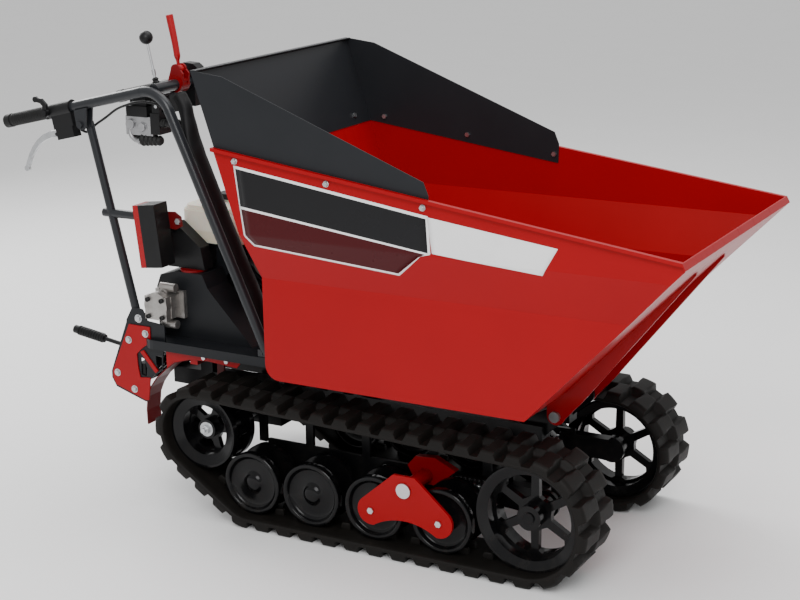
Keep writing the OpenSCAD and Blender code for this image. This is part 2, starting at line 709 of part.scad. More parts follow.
// Ribs under the skip, with the hinge bores and the lift ears
rib_out = rib_y + rib_t;
module rib() {
    difference() {
        plate(-rib_out, rib_t) union() {
            polygon([[hinge_front - 24, floor_z], [hinge_front - 24, hinge_z],
                [hinge_front, hinge_z - 24], [hinge_front + 24, hinge_z - 6], [hinge_front + 74, hinge_z + 50],
                [950, floor_z + (950 - ramp_foot_x) * ramp - 9],
                [950, floor_z + (950 - ramp_foot_x) * ramp - 0.2], [ramp_foot_x, floor_z]]);
            translate([hinge_front, hinge_z]) circle(r = 24);
            polygon([[-20, floor_z], [hinge_front - 24, floor_z], [hinge_front - 24, floor_z - 14],
                [-20, floor_z - 6]]);
        }
        rod_y([hinge_front, hinge_z], -rib_out - 5, 0, hinge_pin_d / 2 + run_gap);
    }
}
lift_ear_y = 19;
module skip_ribs() {
    color(red) {
        both() rib();
        for (y = [-lift_ear_y - 10, lift_ear_y]) difference() {
            plate(y, 10) union() {
                translate(lift_eye) circle(r = 20);
                polygon([lift_eye + [-45, floor_z - lift_eye[1]], lift_eye + [-18, -8], lift_eye + [18, -8],
                    lift_eye + [45, floor_z - lift_eye[1]]]);
            }
            rod_y(lift_eye, -40, 40, lift_pin_r);
        }
        for (y = [-lift_ear_y - 14, lift_ear_y]) rod_y(lift_eye, y, y + 14, lift_pin_r);
        block([lift_eye[0] - 50, -rib_y - 1, floor_z - 4], [lift_eye[0] + 50, rib_y + 1, floor_z]);
    }
}
module hinge_pins() {
    color(zinc) both() {
        rod_y([hinge_front, hinge_z], -rib_out - 6, -ear_y + 6, hinge_pin_d / 2);
        rod_y([hinge_front, hinge_z], -rib_out - 11, -rib_out - 1, hinge_pin_d / 2 + 4);
    }
}

// Lift cylinder, from the frame to the ears under the skip
barrel_r = 27;
barrel_len = lift_len - 52;
module along_lift() {
    translate([lift_base[0], 0, lift_base[1]]) rotate([0, -lift_angle, 0]) children();
}
module lift_barrel() {
    color(black) along_lift() difference() {
        union() {
            rotate([90, 0, 0]) translate([0, 0, -28.5]) cylinder(h = 57, r = 19);
            translate([12, 0, 0]) rotate([0, 90, 0]) cylinder(h = barrel_len - 12, r = barrel_r);
            translate([barrel_len - 24, 0, 0]) rotate([0, 90, 0]) cylinder(h = 24, r = barrel_r + 4);
            translate([36, 0, barrel_r - 4]) cylinder(h = 14, r = 8);
        }
        rotate([90, 0, 0]) translate([0, 0, -40]) cylinder(h = 80, r = lift_pin_r + run_gap);
        translate([30, 0, 0]) rotate([0, 90, 0]) cylinder(h = barrel_len, r = barrel_r - 5);
        translate([30, 0, 0]) rotate([0, 90, 0]) cylinder(h = 4, r = barrel_r - 6);
    }
}
module lift_rod() {
    color(zinc) along_lift() {
        translate([44, 0, 0]) rotate([0, 90, 0]) cylinder(h = lift_len - 44 - 12, r = 14);
        translate([44, 0, 0]) rotate([0, 90, 0]) cylinder(h = 26, r = barrel_r - 5 - run_gap);
        translate([lift_len, 0, 0]) rotate([90, 0, 0]) translate([0, 0, -18]) cylinder(h = 36, r = 17);
    }
}

// Engine group on the deck
eng = [-440, 0, deck_z + deck_t];
module engine_block() {
    color(black) translate(eng) {
        block([-100, -84, 0], [100, 90, 24]);
        block([-82, -78, 24], [82, 78, 150]);
        rod_y([0, 90], -84, 98, 56);
        // Cooling fins round the inclined cylinder
        translate([40, 0, 110]) rotate([0, 35, 0]) for (k = [0:6])
            translate([-52, -58, 10 + 12 * k]) cube([104, 116, 5]);
        translate([40, 0, 110]) rotate([0, 35, 0]) translate([-44, -50, 0]) cube([88, 100, 94]);
    }
}
module engine_cowl() {
    color(charcoal) difference() {
        plate(-82, 180) polygon([[-540, 596], [-536, 706], [-392, 706], [-392, 640], [-430, 596]]);
        block([-530, -76, 580], [-380, 92, 700]);
    }
}
module recoil_starter() {
    color(dark_red) translate(eng) {
        rod_y([0, 90], 98, 132, 82);
        rod_y([0, 90], 132, 146, 60);
        block([-60, 104, 158], [-24, 128, 182]);
    }
}
tank_low = 706;
tank_x = -450;
module fuel_tank() {
    h = 100;
    r = 36;
    half = 98;
    color(cream) translate([tank_x, 0, tank_low]) difference() {
        union() {
            for (k = [0:3]) {
                q = [0, 3, 5.4, 7][k] * 1.4;
                for (x = [-half + r, half - r]) for (y = [-tank_w / 2 + r, tank_w / 2 - r])
                    translate([x, y, 0]) cylinder(h = h - 12 + 4 * k, r = r - q);
                translate([-half + r, -tank_w / 2 + q, 0]) cube([2 * (half - r), tank_w - 2 * q, h - 12 + 4 * k]);
                translate([-half + q, -tank_w / 2 + r, 0]) cube([2 * (half - q), tank_w - 2 * r, h - 12 + 4 * k]);
            }
            cylinder(h = h + 6, r = 26);
        }
        translate([0, 0, 12]) cylinder(h = h, r = 20);
        translate([-70, -tank_w / 2 + 26, 12]) cube([140, tank_w - 52, h - 28]);
    }
}
module fuel_cap() {
    color(black) translate([tank_x, 0, tank_low + 106]) {
        cylinder(h = 16, r = 31);
        translate([0, 0, -8]) cylinder(h = 8.1, r = 19.5);
    }
}
module air_filter() {
    // Air filter housing right of the tank, with the mount of the control box bracket
    color(black) {
        plate(-160, 43) polygon([[-566, 640], [-562, 735], [-548, 758], [-530, 766], [-506, 748], [-448, 702],
            [-436, 640]]);
        plate(-130, 46) polygon([[-540, 645], [-540, 683], [-450, 683], [-450, 645]]);
    }
}
module muffler() {
    color(charcoal) translate(eng) {
        translate([146, 0, 207]) rotate([90, 0, 0]) translate([0, 0, -76]) cylinder(h = 152, r = 36);
        translate([121.3, -20, 168]) cube([30, 40, 20]);
    }
}
module belt_cover() {
    // Cover over the pump drive, right of the engine, sloping down to the deck
    color(charcoal) plate(-184, 98) polygon([[-582, deck_z + deck_t], [-584, 585], [-570, 620], [-520, 634],
        [-430, 634], [-412, 596], [-398, 580], [-300, 478], [-272, deck_z + deck_t]]);
    color(dark_red) translate([-482, -146, 634]) cylinder(h = 5.6, r = 38);
}
pump = [-532, 545];
module gear_pump() {
    color(zinc) translate([0, -14, 0]) {
        // Cover, body and mounting flange of the pump, drive side inwards
        plate(-246, 22) translate(pump) difference() {
            union() {
                translate([-3, 0]) square([72, 66], center = true);
                translate([-3, 6]) circle(r = 38);
            }
            for (x = [-26, 20]) for (z = [-24, 24]) translate([x, z]) circle(r = pump_screw_d / 2 + 0.5);
        }
        plate(-224, 40) translate(pump) union() {
            square([70, 62], center = true);
            circle(r = 36);
        }
        plate(-184, 14) translate(pump) square([96, 76], center = true);
        for (x = [-26, 20]) for (z = [-24, 24])
            rod_y(pump + [x, z], -252, -225, pump_screw_d / 2 - 0.1);
        for (s = [-1, 1]) {
            translate([pump[0], -204, pump[1] + (s > 0 ? 28 : -50)]) cylinder(h = 22, r = 13);
            translate([pump[0] - 12, -204, pump[1] + 52 * s]) rotate([0, 90, 0]) cylinder(h = 50, r = 12);
        }
    }
}
module oil_tank() {
    // Hydraulic oil tank on the left of the engine, with its filler
    color(charcoal) {
        difference() {
            block([-556, 170, deck_z + deck_t], [-330, 236, 640]);
            block([-550, 176, deck_z + deck_t + 6], [-336, 230, 634]);
        }
        translate([-516, 203, 640]) cylinder(h = 22, r = 20);
    }
}
// Control box on an arm from the strut, leaning back a little
box_lean = -6.3;
box_w = 60;
box_h = 174;
box_d = 54;
box_y = -bar_y;
module box_frame() {
    translate([-566, box_y, 653.5]) rotate([0, box_lean, 0]) children();
}
module control_box() {
    color(black) {
        box_frame() difference() {
            cube([box_d, box_w, box_h]);
            translate([-1, 4, 5]) cube([box_d - 7, box_w - 8, box_h - 10]);
        }
        // Bracket from the box to the air filter housing
        plate(box_y + box_w, 4) polygon([[-575, 758], [-578, 800], [-506, 804], [-486, 792], [-482, 766],
            [-504, 755]]);
        hex_rod([-495, 779], box_y + box_w - 6, box_y + box_w, 9);
        block([-548, box_y + box_w + 4, 742], [-532, -160, 762]);
    }
}
module box_cover() {
    color(red) box_frame() difference() {
        union() {
            translate([-18, 0, 0]) cube([18, box_w, box_h]);
            translate([0, 5, 6]) cube([7, box_w - 10, box_h - 12]);
        }
        translate([-13, 9, 10]) cube([40, box_w - 18, box_h - 20]);
        translate([-30, box_w / 2, 62]) rotate([0, 90, 0]) cylinder(h = 20, r = 9 + run_gap);
    }
}
module ignition_key() {
    color(black) box_frame() translate([0, box_w / 2, 62]) {
        translate([-18.2, 0, 0]) rotate([0, 90, 0]) cylinder(h = 12, r = 9);
        translate([-22, 0, 0]) rotate([0, 90, 0]) cylinder(h = 3.9, r = 11);
        translate([-40, -2, -10]) cube([18.1, 4, 20]);
    }
}

// Handlebar: two bent tubes, joined by a cross tube with the lever plate
module seg(a, b, r) {
    v = b - a;
    translate([a[0], a[1], 0]) rotate([0, 0, atan2(v[1], v[0])]) rotate([0, 90, 0])
        cylinder(h = norm(v), r = r);
}
bar_dir1 = unit(bar_slope);
bar_down = atan2(bar_low[1] - bar_corner[1], bar_low[0] - bar_corner[0]);
bar_dir2 = unit(bar_down);
bar_cut = bar_bend * tan((bar_slope - bar_down) / 2);
bar_t1 = bar_corner - bar_cut * bar_dir1;
bar_t2 = bar_corner + bar_cut * bar_dir2;
bar_centre = bar_t1 + bar_bend * unit(bar_slope - 90);
module bar_line(r) {
    seg([grip_x, grip_z] + 6 * bar_dir1, bar_t1, r);
    seg(bar_t2, bar_low, r);
    // Thin weld collars over both ends of the bend
    seg(bar_t1 - 4 * bar_dir1, bar_t1 + 4 * bar_dir1, r + 0.5);
    seg(bar_t2 - 4 * bar_dir2, bar_t2 + 4 * bar_dir2, r + 0.5);
    translate(bar_centre) rotate([0, 0, bar_down + 90])
        rotate_extrude(angle = bar_slope - bar_down) translate([bar_bend, 0]) circle(r = r);
}
module handlebar() {
    color(charcoal) {
        both() {
            translate([0, -bar_y, 0]) rotate([90, 0, 0]) difference() {
                bar_line(bar_d / 2);
                seg([grip_x, grip_z], bar_t1, bar_d / 2 - bar_wall);
            }
            block([bar_low[0] - 26, -deck_half + 0.4, deck_z + deck_t],
                [bar_low[0] + 20, -bar_y + 26, deck_z + deck_t + 26]);
        }
        rod_y([cross_x + 4, cross_z], -bar_y + bar_d / 2 - 4, bar_y - bar_d / 2 + 4, 15);
        // Plate behind the cross tube, on which the valve and its boot sit
        difference() {
            block([cross_x - 100, -218, cross_z - 24], [cross_x + 4, -150, cross_z - 18]);
            block([valve_x - 26, valve_y - 9, cross_z - 40], [valve_x + 12, valve_y + 9, cross_z]);
        }
        for (y = [-218, -154]) block([cross_x - 6, y, cross_z - 20], [cross_x + 4, y + 4, cross_z - 6]);
    }
}
strut_y = -bar_y + 21;
strut_top = [-750, 1042];
strut_foot = [-619, 490];
strut_dir = (strut_top - strut_foot) / norm(strut_top - strut_foot);
module bar_struts() {
    arm_z = 792;
    arm_x = strut_foot[0] + strut_dir[0] / strut_dir[1] * (arm_z - strut_foot[1]);
    color(charcoal) {
        translate([0, strut_y, 0]) rotate([90, 0, 0]) seg(strut_foot, strut_top, 12);
        // Arm that carries the control box
        translate([arm_x - 26, strut_y, arm_z]) rotate([0, 90, 0])
            cylinder(h = -566 + (arm_z - 653.5) * tan(box_lean) - 18 - arm_x + 24.4, r = 12);
        rod_y(strut_foot + [4, 12], -plate_y + 4, strut_y, 6);
        hex_rod(strut_foot + [4, 12], strut_y + 12, strut_y + 18, 10);
        // Top ear and bolt, on both sides
        both() {
            for (y = [-15, 10]) plate(-bar_y + y, 5) polygon([[-772, on_bar(-772)[1] - 10],
                [-728, on_bar(-728)[1] - 10], [-734, 1032], [-742, 1024], [-756, 1024], [-766, 1034]]);
            rod_y(strut_top - [2, 4], -bar_y - 19, -bar_y + 19, 6);
            hex_rod(strut_top - [2, 4], -bar_y - 21, -bar_y - 15, 10);
        }
    }
}
module on_grip(x) {
    p = on_bar(x);
    translate([p[0], -bar_y, p[1]]) rotate([0, -bar_slope, 0]) children();
}
module grip() {
    on_grip(grip_x) rotate([0, 90, 0]) difference() {
        union() {
            cylinder(h = grip_len, r = 17);
            cylinder(h = 20, r = 19);
            translate([0, 0, grip_len - 8]) cylinder(h = 8, r = 20);
            for (k = [0:13]) translate([0, 0, 28 + 8 * k]) cylinder(h = 4, r = 18);
        }
        translate([0, 0, 6]) cylinder(h = grip_len, r = bar_d / 2 + 0.02);
    }
}
module grips() { color(black) both() grip(); }

// Lever clamps under the bar, each carrying a brake lever
clamp_x = -822;
brake_pin = [-838, 1006];
throttle_pivot = [-866, on_bar(-866)[1]];
module lever_clamp() {
    on_grip(clamp_x) difference() {
        union() {
            rotate([0, 90, 0]) translate([0, 0, -34]) cylinder(h = 70, r = bar_d / 2 + 7);
            translate([-34, -16, -50]) cube([70, 32, 46]);
            translate([-30, -15, -80]) cube([60, 30, 32]);
        }
        rotate([0, 90, 0]) translate([0, 0, -60]) cylinder(h = 120, r = bar_d / 2 + 0.02);
        // Fork slot in which the brake lever swings
        translate([-60, -6.5, -90]) cube([62, 13, 50]);
    }
    // Collar beside the grip
    on_grip(throttle_pivot[0]) rotate([0, 90, 0]) difference() {
        translate([0, 0, -3]) cylinder(h = 14, r = 20);
        translate([0, 0, -10]) cylinder(h = 30, r = bar_d / 2 + 0.02);
    }
}
module brake_pin_solid(r, half) { rod_y(brake_pin, -bar_y - half, -bar_y + half, r); }
module lever_clamps() {
    color(black) {
        both() {
            difference() {
                lever_clamp();
                brake_pin_solid(5, 30);
            }
            brake_pin_solid(5, 15);
        }
        rod_y(throttle_pivot + [3, 0], -bar_y - 32, -bar_y - 17, 5);
        rod_y(throttle_pivot + [3, 0], -bar_y - 35, -bar_y - 32, 9);
    }
}
// Lever blade from a line of points, with half widths at both ends
function blade(p, a, b) = let (n = len(p) - 1, q = [for (i = [0:n]) let (v = p[min(i + 1, n)] - p[max(i - 1, 0)],
    d = v / norm(v)) (a + (b - a) * i / n) * [-d[1], d[0]]])
    concat([for (i = [0:n]) p[i] - q[i]], [for (i = [n:-1:0]) p[i] + q[i]]);
brake_line = [brake_pin, [-866, 1003], [-893, 992], [-914, 977], [-931, 959], [-945, 938], [-956, 916],
    [-963, 899]];
module brake_lever() {
    plate(-bar_y - 5, 10) difference() {
        union() {
            translate(brake_pin) circle(r = 11);
            polygon(blade(brake_line, 9, 5));
            translate(brake_line[7]) circle(r = 8);
        }
        translate(brake_pin) circle(r = 5 + run_gap);
    }
}
module brake_lever_right() { color(zinc) brake_lever(); }
module brake_lever_left() { color(zinc) mirror([0, 1, 0]) brake_lever(); }

// Thumb throttle on a pin beside the right bar
module throttle_lever() {
    color(black) plate(-bar_y - 30, 8) difference() {
        union() {
            translate(throttle_pivot + [3, 0]) circle(r = 12);
            polygon(blade([throttle_pivot + [3, 0], throttle_pivot + [4, 22], throttle_pivot + [-8, 33],
                throttle_pivot + [-28, 36]], 8, 6));
            translate(throttle_pivot + [-28, 36]) circle(r = 8);
        }
        translate(throttle_pivot + [3, 0]) circle(r = 5 + run_gap);
    }
}

// Tipping valve under the plate behind the cross tube
valve_y = -180;
valve_x = cross_x - 20;
valve_pivot = [valve_x, cross_z - 52];
module valve_block() {
    color(zinc) difference() {
        union() {
            block([valve_x - 108, valve_y - 30, cross_z - 140], [valve_x + 12, valve_y + 30, cross_z - 70]);
            for (y = [-24, 12]) block([valve_x - 14, valve_y + y, cross_z - 72], [valve_x + 12, valve_y + y + 12, cross_z - 24]);
            block([valve_x - 100, valve_y - 26, cross_z - 71], [valve_x - 30, valve_y + 26, cross_z - 24]);
            for (y = [-14, 14]) translate([valve_x + 11, valve_y + y, cross_z - 98]) rotate([0, 90, 0]) cylinder(h = 13, r = 11);
        }
        rod_y(valve_pivot, valve_y - 30, valve_y + 30, 5);
    }
    color(zinc) rod_y(valve_pivot, valve_y - 24, valve_y + 24, 5);
}
module valve_lever() {
    lean = -11.9;
    color(black) {
        difference() {
            rod_y(valve_pivot, valve_y - 11.7, valve_y + 11.7, 11);
            rod_y(valve_pivot, valve_y - 20, valve_y + 20, 5 + run_gap);
        }
        translate([valve_pivot[0], valve_y, valve_pivot[1]]) rotate([0, lean, 0]) {
            translate([0, 0, 8]) cylinder(h = 170, r = 4);
            translate([0, 0, 58]) cylinder(h = 22, r1 = 12, r2 = 8);
            translate([0, 0, 184]) sphere(r = 18.5);
        }
    }
}
// Drive engagement lever, red, in its bracket on the cross tube
drive_y = -125;
drive_pivot = [cross_x + 4, cross_z + 40];
module lever_bracket() {
    color(dark_red) difference() {
        union() {
            for (y = [-16, 10]) plate(drive_y + y, 6) union() {
                translate(drive_pivot) circle(r = 15);
                polygon([drive_pivot + [-15, 0], drive_pivot + [-26, -30], drive_pivot + [-22, -42],
                    drive_pivot + [22, -42], drive_pivot + [24, -10], drive_pivot + [15, 0]]);
            }
            block([cross_x - 18, drive_y - 16, cross_z + 8], [cross_x + 26, drive_y + 16, cross_z + 15]);
            rod_y([cross_x + 4, cross_z], drive_y - 20, drive_y + 20, 21);
            rod_y(drive_pivot, drive_y - 16, drive_y + 16, 5);
        }
        rod_y([cross_x + 4, cross_z], drive_y - 40, drive_y + 40, 15.02);
    }
    // Throttle cable housing on the cross tube, right beside it
    color(black) difference() {
        union() {
            rod_y([cross_x + 4, cross_z], drive_y + 42, drive_y + 74, 22);
            plate(drive_y + 42, 32) polygon([[cross_x - 28, cross_z + 14], [cross_x - 30, cross_z + 40],
                [cross_x - 12, cross_z + 52], [cross_x + 20, cross_z + 50], [cross_x + 34, cross_z + 40],
                [cross_x + 20, cross_z + 14]]);
            block([cross_x - 16, drive_y + 44, cross_z - 66], [cross_x + 22, drive_y + 72, cross_z - 14]);
        }
        rod_y([cross_x + 4, cross_z], drive_y + 30, drive_y + 90, 15.02);
    }
}
module drive_lever() {
    line = [drive_pivot, drive_pivot + [-3, 36], drive_pivot + [-8, 70], drive_pivot + [-15, 106],
        drive_pivot + [-21, 136]];
    color(red) difference() {
        union() {
            rod_y(drive_pivot, drive_y - 9.5, drive_y + 9.5, 12);
            plate(drive_y - 4, 8) polygon(blade(line, 8, 11));
            plate(drive_y - 10, 20) polygon(blade([line[1] + [-2, 10], line[2], line[3], line[4]], 8, 11));
            rod_y(line[4], drive_y - 10, drive_y + 10, 11);
        }
        rod_y(drive_pivot, drive_y - 40, drive_y + 40, 5 + run_gap);
    }
}
// Gear lever at the rear, low on the right
gear_pivot = [-560, 382];
module gear_lever() {
    tip = [-874, 427];
    v = tip - gear_pivot;
    d = v / norm(v);
    translate([0, -200, 0]) rotate([90, 0, 0]) {
        color(black) seg(gear_pivot + 210 * d, tip, 12);
        color(black) for (k = [0:9]) seg(gear_pivot + (216 + 9 * k) * d, gear_pivot + (220 + 9 * k) * d, 14);
        color(charcoal) seg(gear_pivot + 9 * d, gear_pivot + 212 * d, 6);
    }
    color(charcoal) difference() {
        rod_y(gear_pivot, -213.5, -186.5, 11);
        rod_y(gear_pivot, -230, -170, 8 + run_gap);
    }
}

// Hoses: smooth tubes through hand-chosen points
function smooth(p, n = 3) = let (m = len(p) - 1) concat([for (i = [0:m - 1]) for (k = [0:n - 1])
    let (t = k / n, a = p[max(i - 1, 0)], b = p[i], c = p[i + 1], d = p[min(i + 2, m)])
    0.5 * (2 * b + (c - a) * t + (2 * a - 5 * b + 4 * c - d) * t * t + (3 * b - a - 3 * c + d) * t * t * t)],
    [p[m]]);
function tangent(p, i) = let (v = p[min(i + 1, len(p) - 1)] - p[max(i - 1, 0)]) v / norm(v);
module hose(points, r) {
    p = smooth(points);
    n = len(p);
    ring = 8;
    pts = [for (i = [0:n - 1]) let (t = tangent(p, i), u0 = cross(t, [0.12, 1, 0.07]), u = u0 / norm(u0),
        w = cross(t, u)) for (j = [0:ring - 1]) p[i] + r * (cos(360 * j / ring) * u + sin(360 * j / ring) * w)];
    faces = concat([for (i = [0:n - 2]) for (j = [0:ring - 1])
        let (a = i * ring + j, b = i * ring + (j + 1) % ring) each [[a, b + ring, b], [a, a + ring, b + ring]]],
        [for (j = [1:ring - 2]) [0, j, j + 1]],
        [for (j = [1:ring - 2]) [(n - 1) * ring, (n - 1) * ring + j + 1, (n - 1) * ring + j]]);
    polyhedron(pts, faces);
}
deck_top = deck_z + deck_t + 0.2;
port = [valve_x + 24.3, cross_z - 98];
hose_routes = [
    [[port[0], -194, port[1]], [-500, -194, port[1]], [-480, -197, 1045], [-452, -206, 1030], [-426, -216, 1002], [-404, -221, 955],
        [-380, -222, 900], [-334, -221, 792], [-296, -218, 705], [-252, -214, 600], [-214, -210, 505],
        [-204, -208, deck_top + 20], [-203, -208, deck_top]],
    [[port[0], -166, port[1]], [-500, -166, port[1]], [-482, -167, 1045], [-455, -170, 1032], [-428, -176, 1000], [-404, -180, 955],
        [-380, -180, 900], [-334, -180, 792], [-296, -179, 705], [-252, -178, 600], [-214, -178, 505],
        [-204, -178, deck_top + 20], [-203, -178, deck_top]]
];
harness = [[-474, -190, cross_z - 22], [-456, -190, 1098], [-445, -192, 1066], [-430, -196, 1020],
    [-408, -200, 968], [-382, -201, 905], [-360, -201, 850], [-334, -201, 788], [-294, -199, 700],
    [-250, -196, 600], [-212, -193, 505], [-203, -193, deck_top + 22], [-202, -193, deck_top]];
cable_route = [[-773, -236, 1018], [-769, -222, 1011], [-762, -211, 1014], [-744, -209, 1031], [-707, -211, 1053], [-660, -222, 1080],
    [-620, -231, 1095], [-580, -234, 1106], [-534, -234, 1108], [-492, -234, 1097], [-465, -233, 1068],
    [-440, -232, 1022], [-414, -232, 962], [-388, -232, 902], [-340, -232, 795], [-300, -231, 705],
    [-258, -229, 605], [-225, -228, 510], [-216, -227, deck_top + 14], [-215, -227, deck_top]];
module hoses() {
    color(black) {
        for (route = hose_routes) hose(route, 9);
        hose(harness, 12);
        hose(cable_route, 3.5);
    }
}

chassis_frame();
deck();
rear_plates();
mudguards();
track_right();
track_left();
drive_sprocket_right();
drive_sprocket_left();
idler_right();
idler_left();
idler_forks();
tension_springs();
road_wheel_1_right();
road_wheel_2_right();
road_wheel_3_right();
road_wheel_4_right();
road_wheel_1_left();
road_wheel_2_left();
road_wheel_3_left();
road_wheel_4_left();
bogie_right();
bogie_left();
bogie_brackets();
gearbox();
skip_tub();
skip_ribs();
board_right();
board_left();
board_rear();
board_bolts();
side_panels();
hinge_pins();
lift_barrel();
lift_rod();
engine_block();
engine_cowl();
recoil_starter();
fuel_tank();
fuel_cap();
air_filter();
muffler();
belt_cover();
gear_pump();
oil_tank();
control_box();
box_cover();
ignition_key();
handlebar();
bar_struts();
grips();
lever_clamps();
brake_lever_right();
brake_lever_left();
throttle_lever();
valve_block();
valve_lever();
drive_lever();
lever_bracket();
gear_lever();
hoses();
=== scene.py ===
"""Looks of a walk-behind tracked power carrier: finishes for every piece of the frame, and detailed pieces."""
import math

import bmesh
import bpy
import numpy as np
from mathutils import Matrix, Vector
from mathutils.geometry import tessellate_polygon


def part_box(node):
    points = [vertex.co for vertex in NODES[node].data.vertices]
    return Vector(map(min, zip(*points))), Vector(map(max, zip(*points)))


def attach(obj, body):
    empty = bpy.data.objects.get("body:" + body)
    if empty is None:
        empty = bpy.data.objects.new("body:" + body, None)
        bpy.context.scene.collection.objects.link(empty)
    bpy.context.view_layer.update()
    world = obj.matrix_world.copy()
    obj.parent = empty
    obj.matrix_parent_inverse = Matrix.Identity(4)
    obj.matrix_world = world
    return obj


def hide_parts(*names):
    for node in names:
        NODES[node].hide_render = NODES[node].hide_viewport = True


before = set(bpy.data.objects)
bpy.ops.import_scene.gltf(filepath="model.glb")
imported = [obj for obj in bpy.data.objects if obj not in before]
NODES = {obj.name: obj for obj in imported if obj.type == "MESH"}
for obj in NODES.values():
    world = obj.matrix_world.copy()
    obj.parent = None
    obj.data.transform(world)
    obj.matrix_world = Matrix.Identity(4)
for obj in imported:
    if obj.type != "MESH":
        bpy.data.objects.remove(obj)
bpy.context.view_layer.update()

bl_info = {
    "name": "Tracked carrier looks",
    "version": (1, 0, 0),
    "blender": (4, 5, 0),
    "location": "View3D > Sidebar > Carrier",
    "description": "Finishes and detailed pieces for a tracked power carrier",
    "category": "Object",
}


# Settings that a user would change
class CarrierPaint(bpy.types.PropertyGroup):
    """Colours of the machine's paints and plastics."""

    red: bpy.props.FloatVectorProperty(
        name="Red", description="Gloss red of the skip and side plates", subtype="COLOR", size=3,
        default=(0.29, 0.0012, 0.0045), min=0, max=1)
    # On the mudguard sheet this darker red is painted shade: the sheet's underside lies in shadow.
    dark_red: bpy.props.FloatVectorProperty(
        name="Dark red", description="Darker red of mudguards and brackets", subtype="COLOR", size=3,
        default=(0.10, 0.0015, 0.003), min=0, max=1)
    charcoal: bpy.props.FloatVectorProperty(
        name="Charcoal", description="Satin grey of boards, deck and handlebar", subtype="COLOR", size=3,
        default=(0.0105, 0.0115, 0.0135), min=0, max=1)
    black: bpy.props.FloatVectorProperty(
        name="Black", description="Black of frame and wheels", subtype="COLOR", size=3,
        default=(0.0035, 0.0035, 0.004), min=0, max=1)
    rubber: bpy.props.FloatVectorProperty(
        name="Track rubber", description="Brownish black of the tracks", subtype="COLOR", size=3,
        default=(0.0058, 0.0049, 0.0042), min=0, max=1)
    cream: bpy.props.FloatVectorProperty(
        name="Tank", description="Milky plastic of the fuel tank", subtype="COLOR", size=3,
        default=(0.72, 0.67, 0.57), min=0, max=1)


class CarrierSizes(bpy.types.PropertyGroup):
    """Sizes of the pieces that are added to the frame."""

    hose_d: bpy.props.FloatProperty(
        name="Hose diameter", description="Diameter of the hydraulic hoses", default=0.018,
        min=0.01, max=0.025, unit="LENGTH")
    harness_d: bpy.props.FloatProperty(
        name="Harness diameter", description="Diameter of the wrapped harness", default=0.024,
        min=0.012, max=0.03, unit="LENGTH")
    cable_d: bpy.props.FloatProperty(
        name="Cable diameter", description="Diameter of the brake cable", default=0.007,
        min=0.004, max=0.01, unit="LENGTH")
    decal_lift: bpy.props.FloatProperty(
        name="Decal lift", description="How far the decals stand off the sheet", default=0.0005,
        min=0.0003, max=0.0011, unit="LENGTH")


def paint():
    """The scene's colours."""
    return bpy.context.scene.carrier_paint


def sizes():
    """The scene's sizes."""
    return bpy.context.scene.carrier_sizes


# Shader maths: sockets that count as numbers, and one class for a material
class Value:
    """A number socket that Python sums and products turn into Math nodes."""

    def __init__(self, finish, socket):
        self.finish, self.socket = finish, socket

    def maths(self, operation, *others):
        """The result of a Math node with this number and others."""
        return self.finish.number("ShaderNodeMath", {"operation": operation}, [self, *others])

    def __add__(self, other):
        return self.maths("ADD", other)

    __radd__ = __add__

    def __mul__(self, other):
        return self.maths("MULTIPLY", other)

    __rmul__ = __mul__

    def __sub__(self, other):
        return self.maths("SUBTRACT", other)

    def __rsub__(self, other):
        return self.finish.number("ShaderNodeMath", {"operation": "SUBTRACT"}, [other, self])

    def __abs__(self):
        return self.maths("ABSOLUTE")

    def __gt__(self, other):
        return self.maths("GREATER_THAN", other)

    def __lt__(self, other):
        return self.maths("LESS_THAN", other)

    def sine(self):
        return self.maths("SINE")

    def most(self, other):
        return self.maths("MAXIMUM", other)

    def smooth(self, low, high):
        """0 below low, 1 above high, a smooth step between."""
        return self.finish.number(
            "ShaderNodeMapRange", {"interpolation_type": "SMOOTHSTEP"},
            {"Value": self, "From Min": low, "From Max": high})


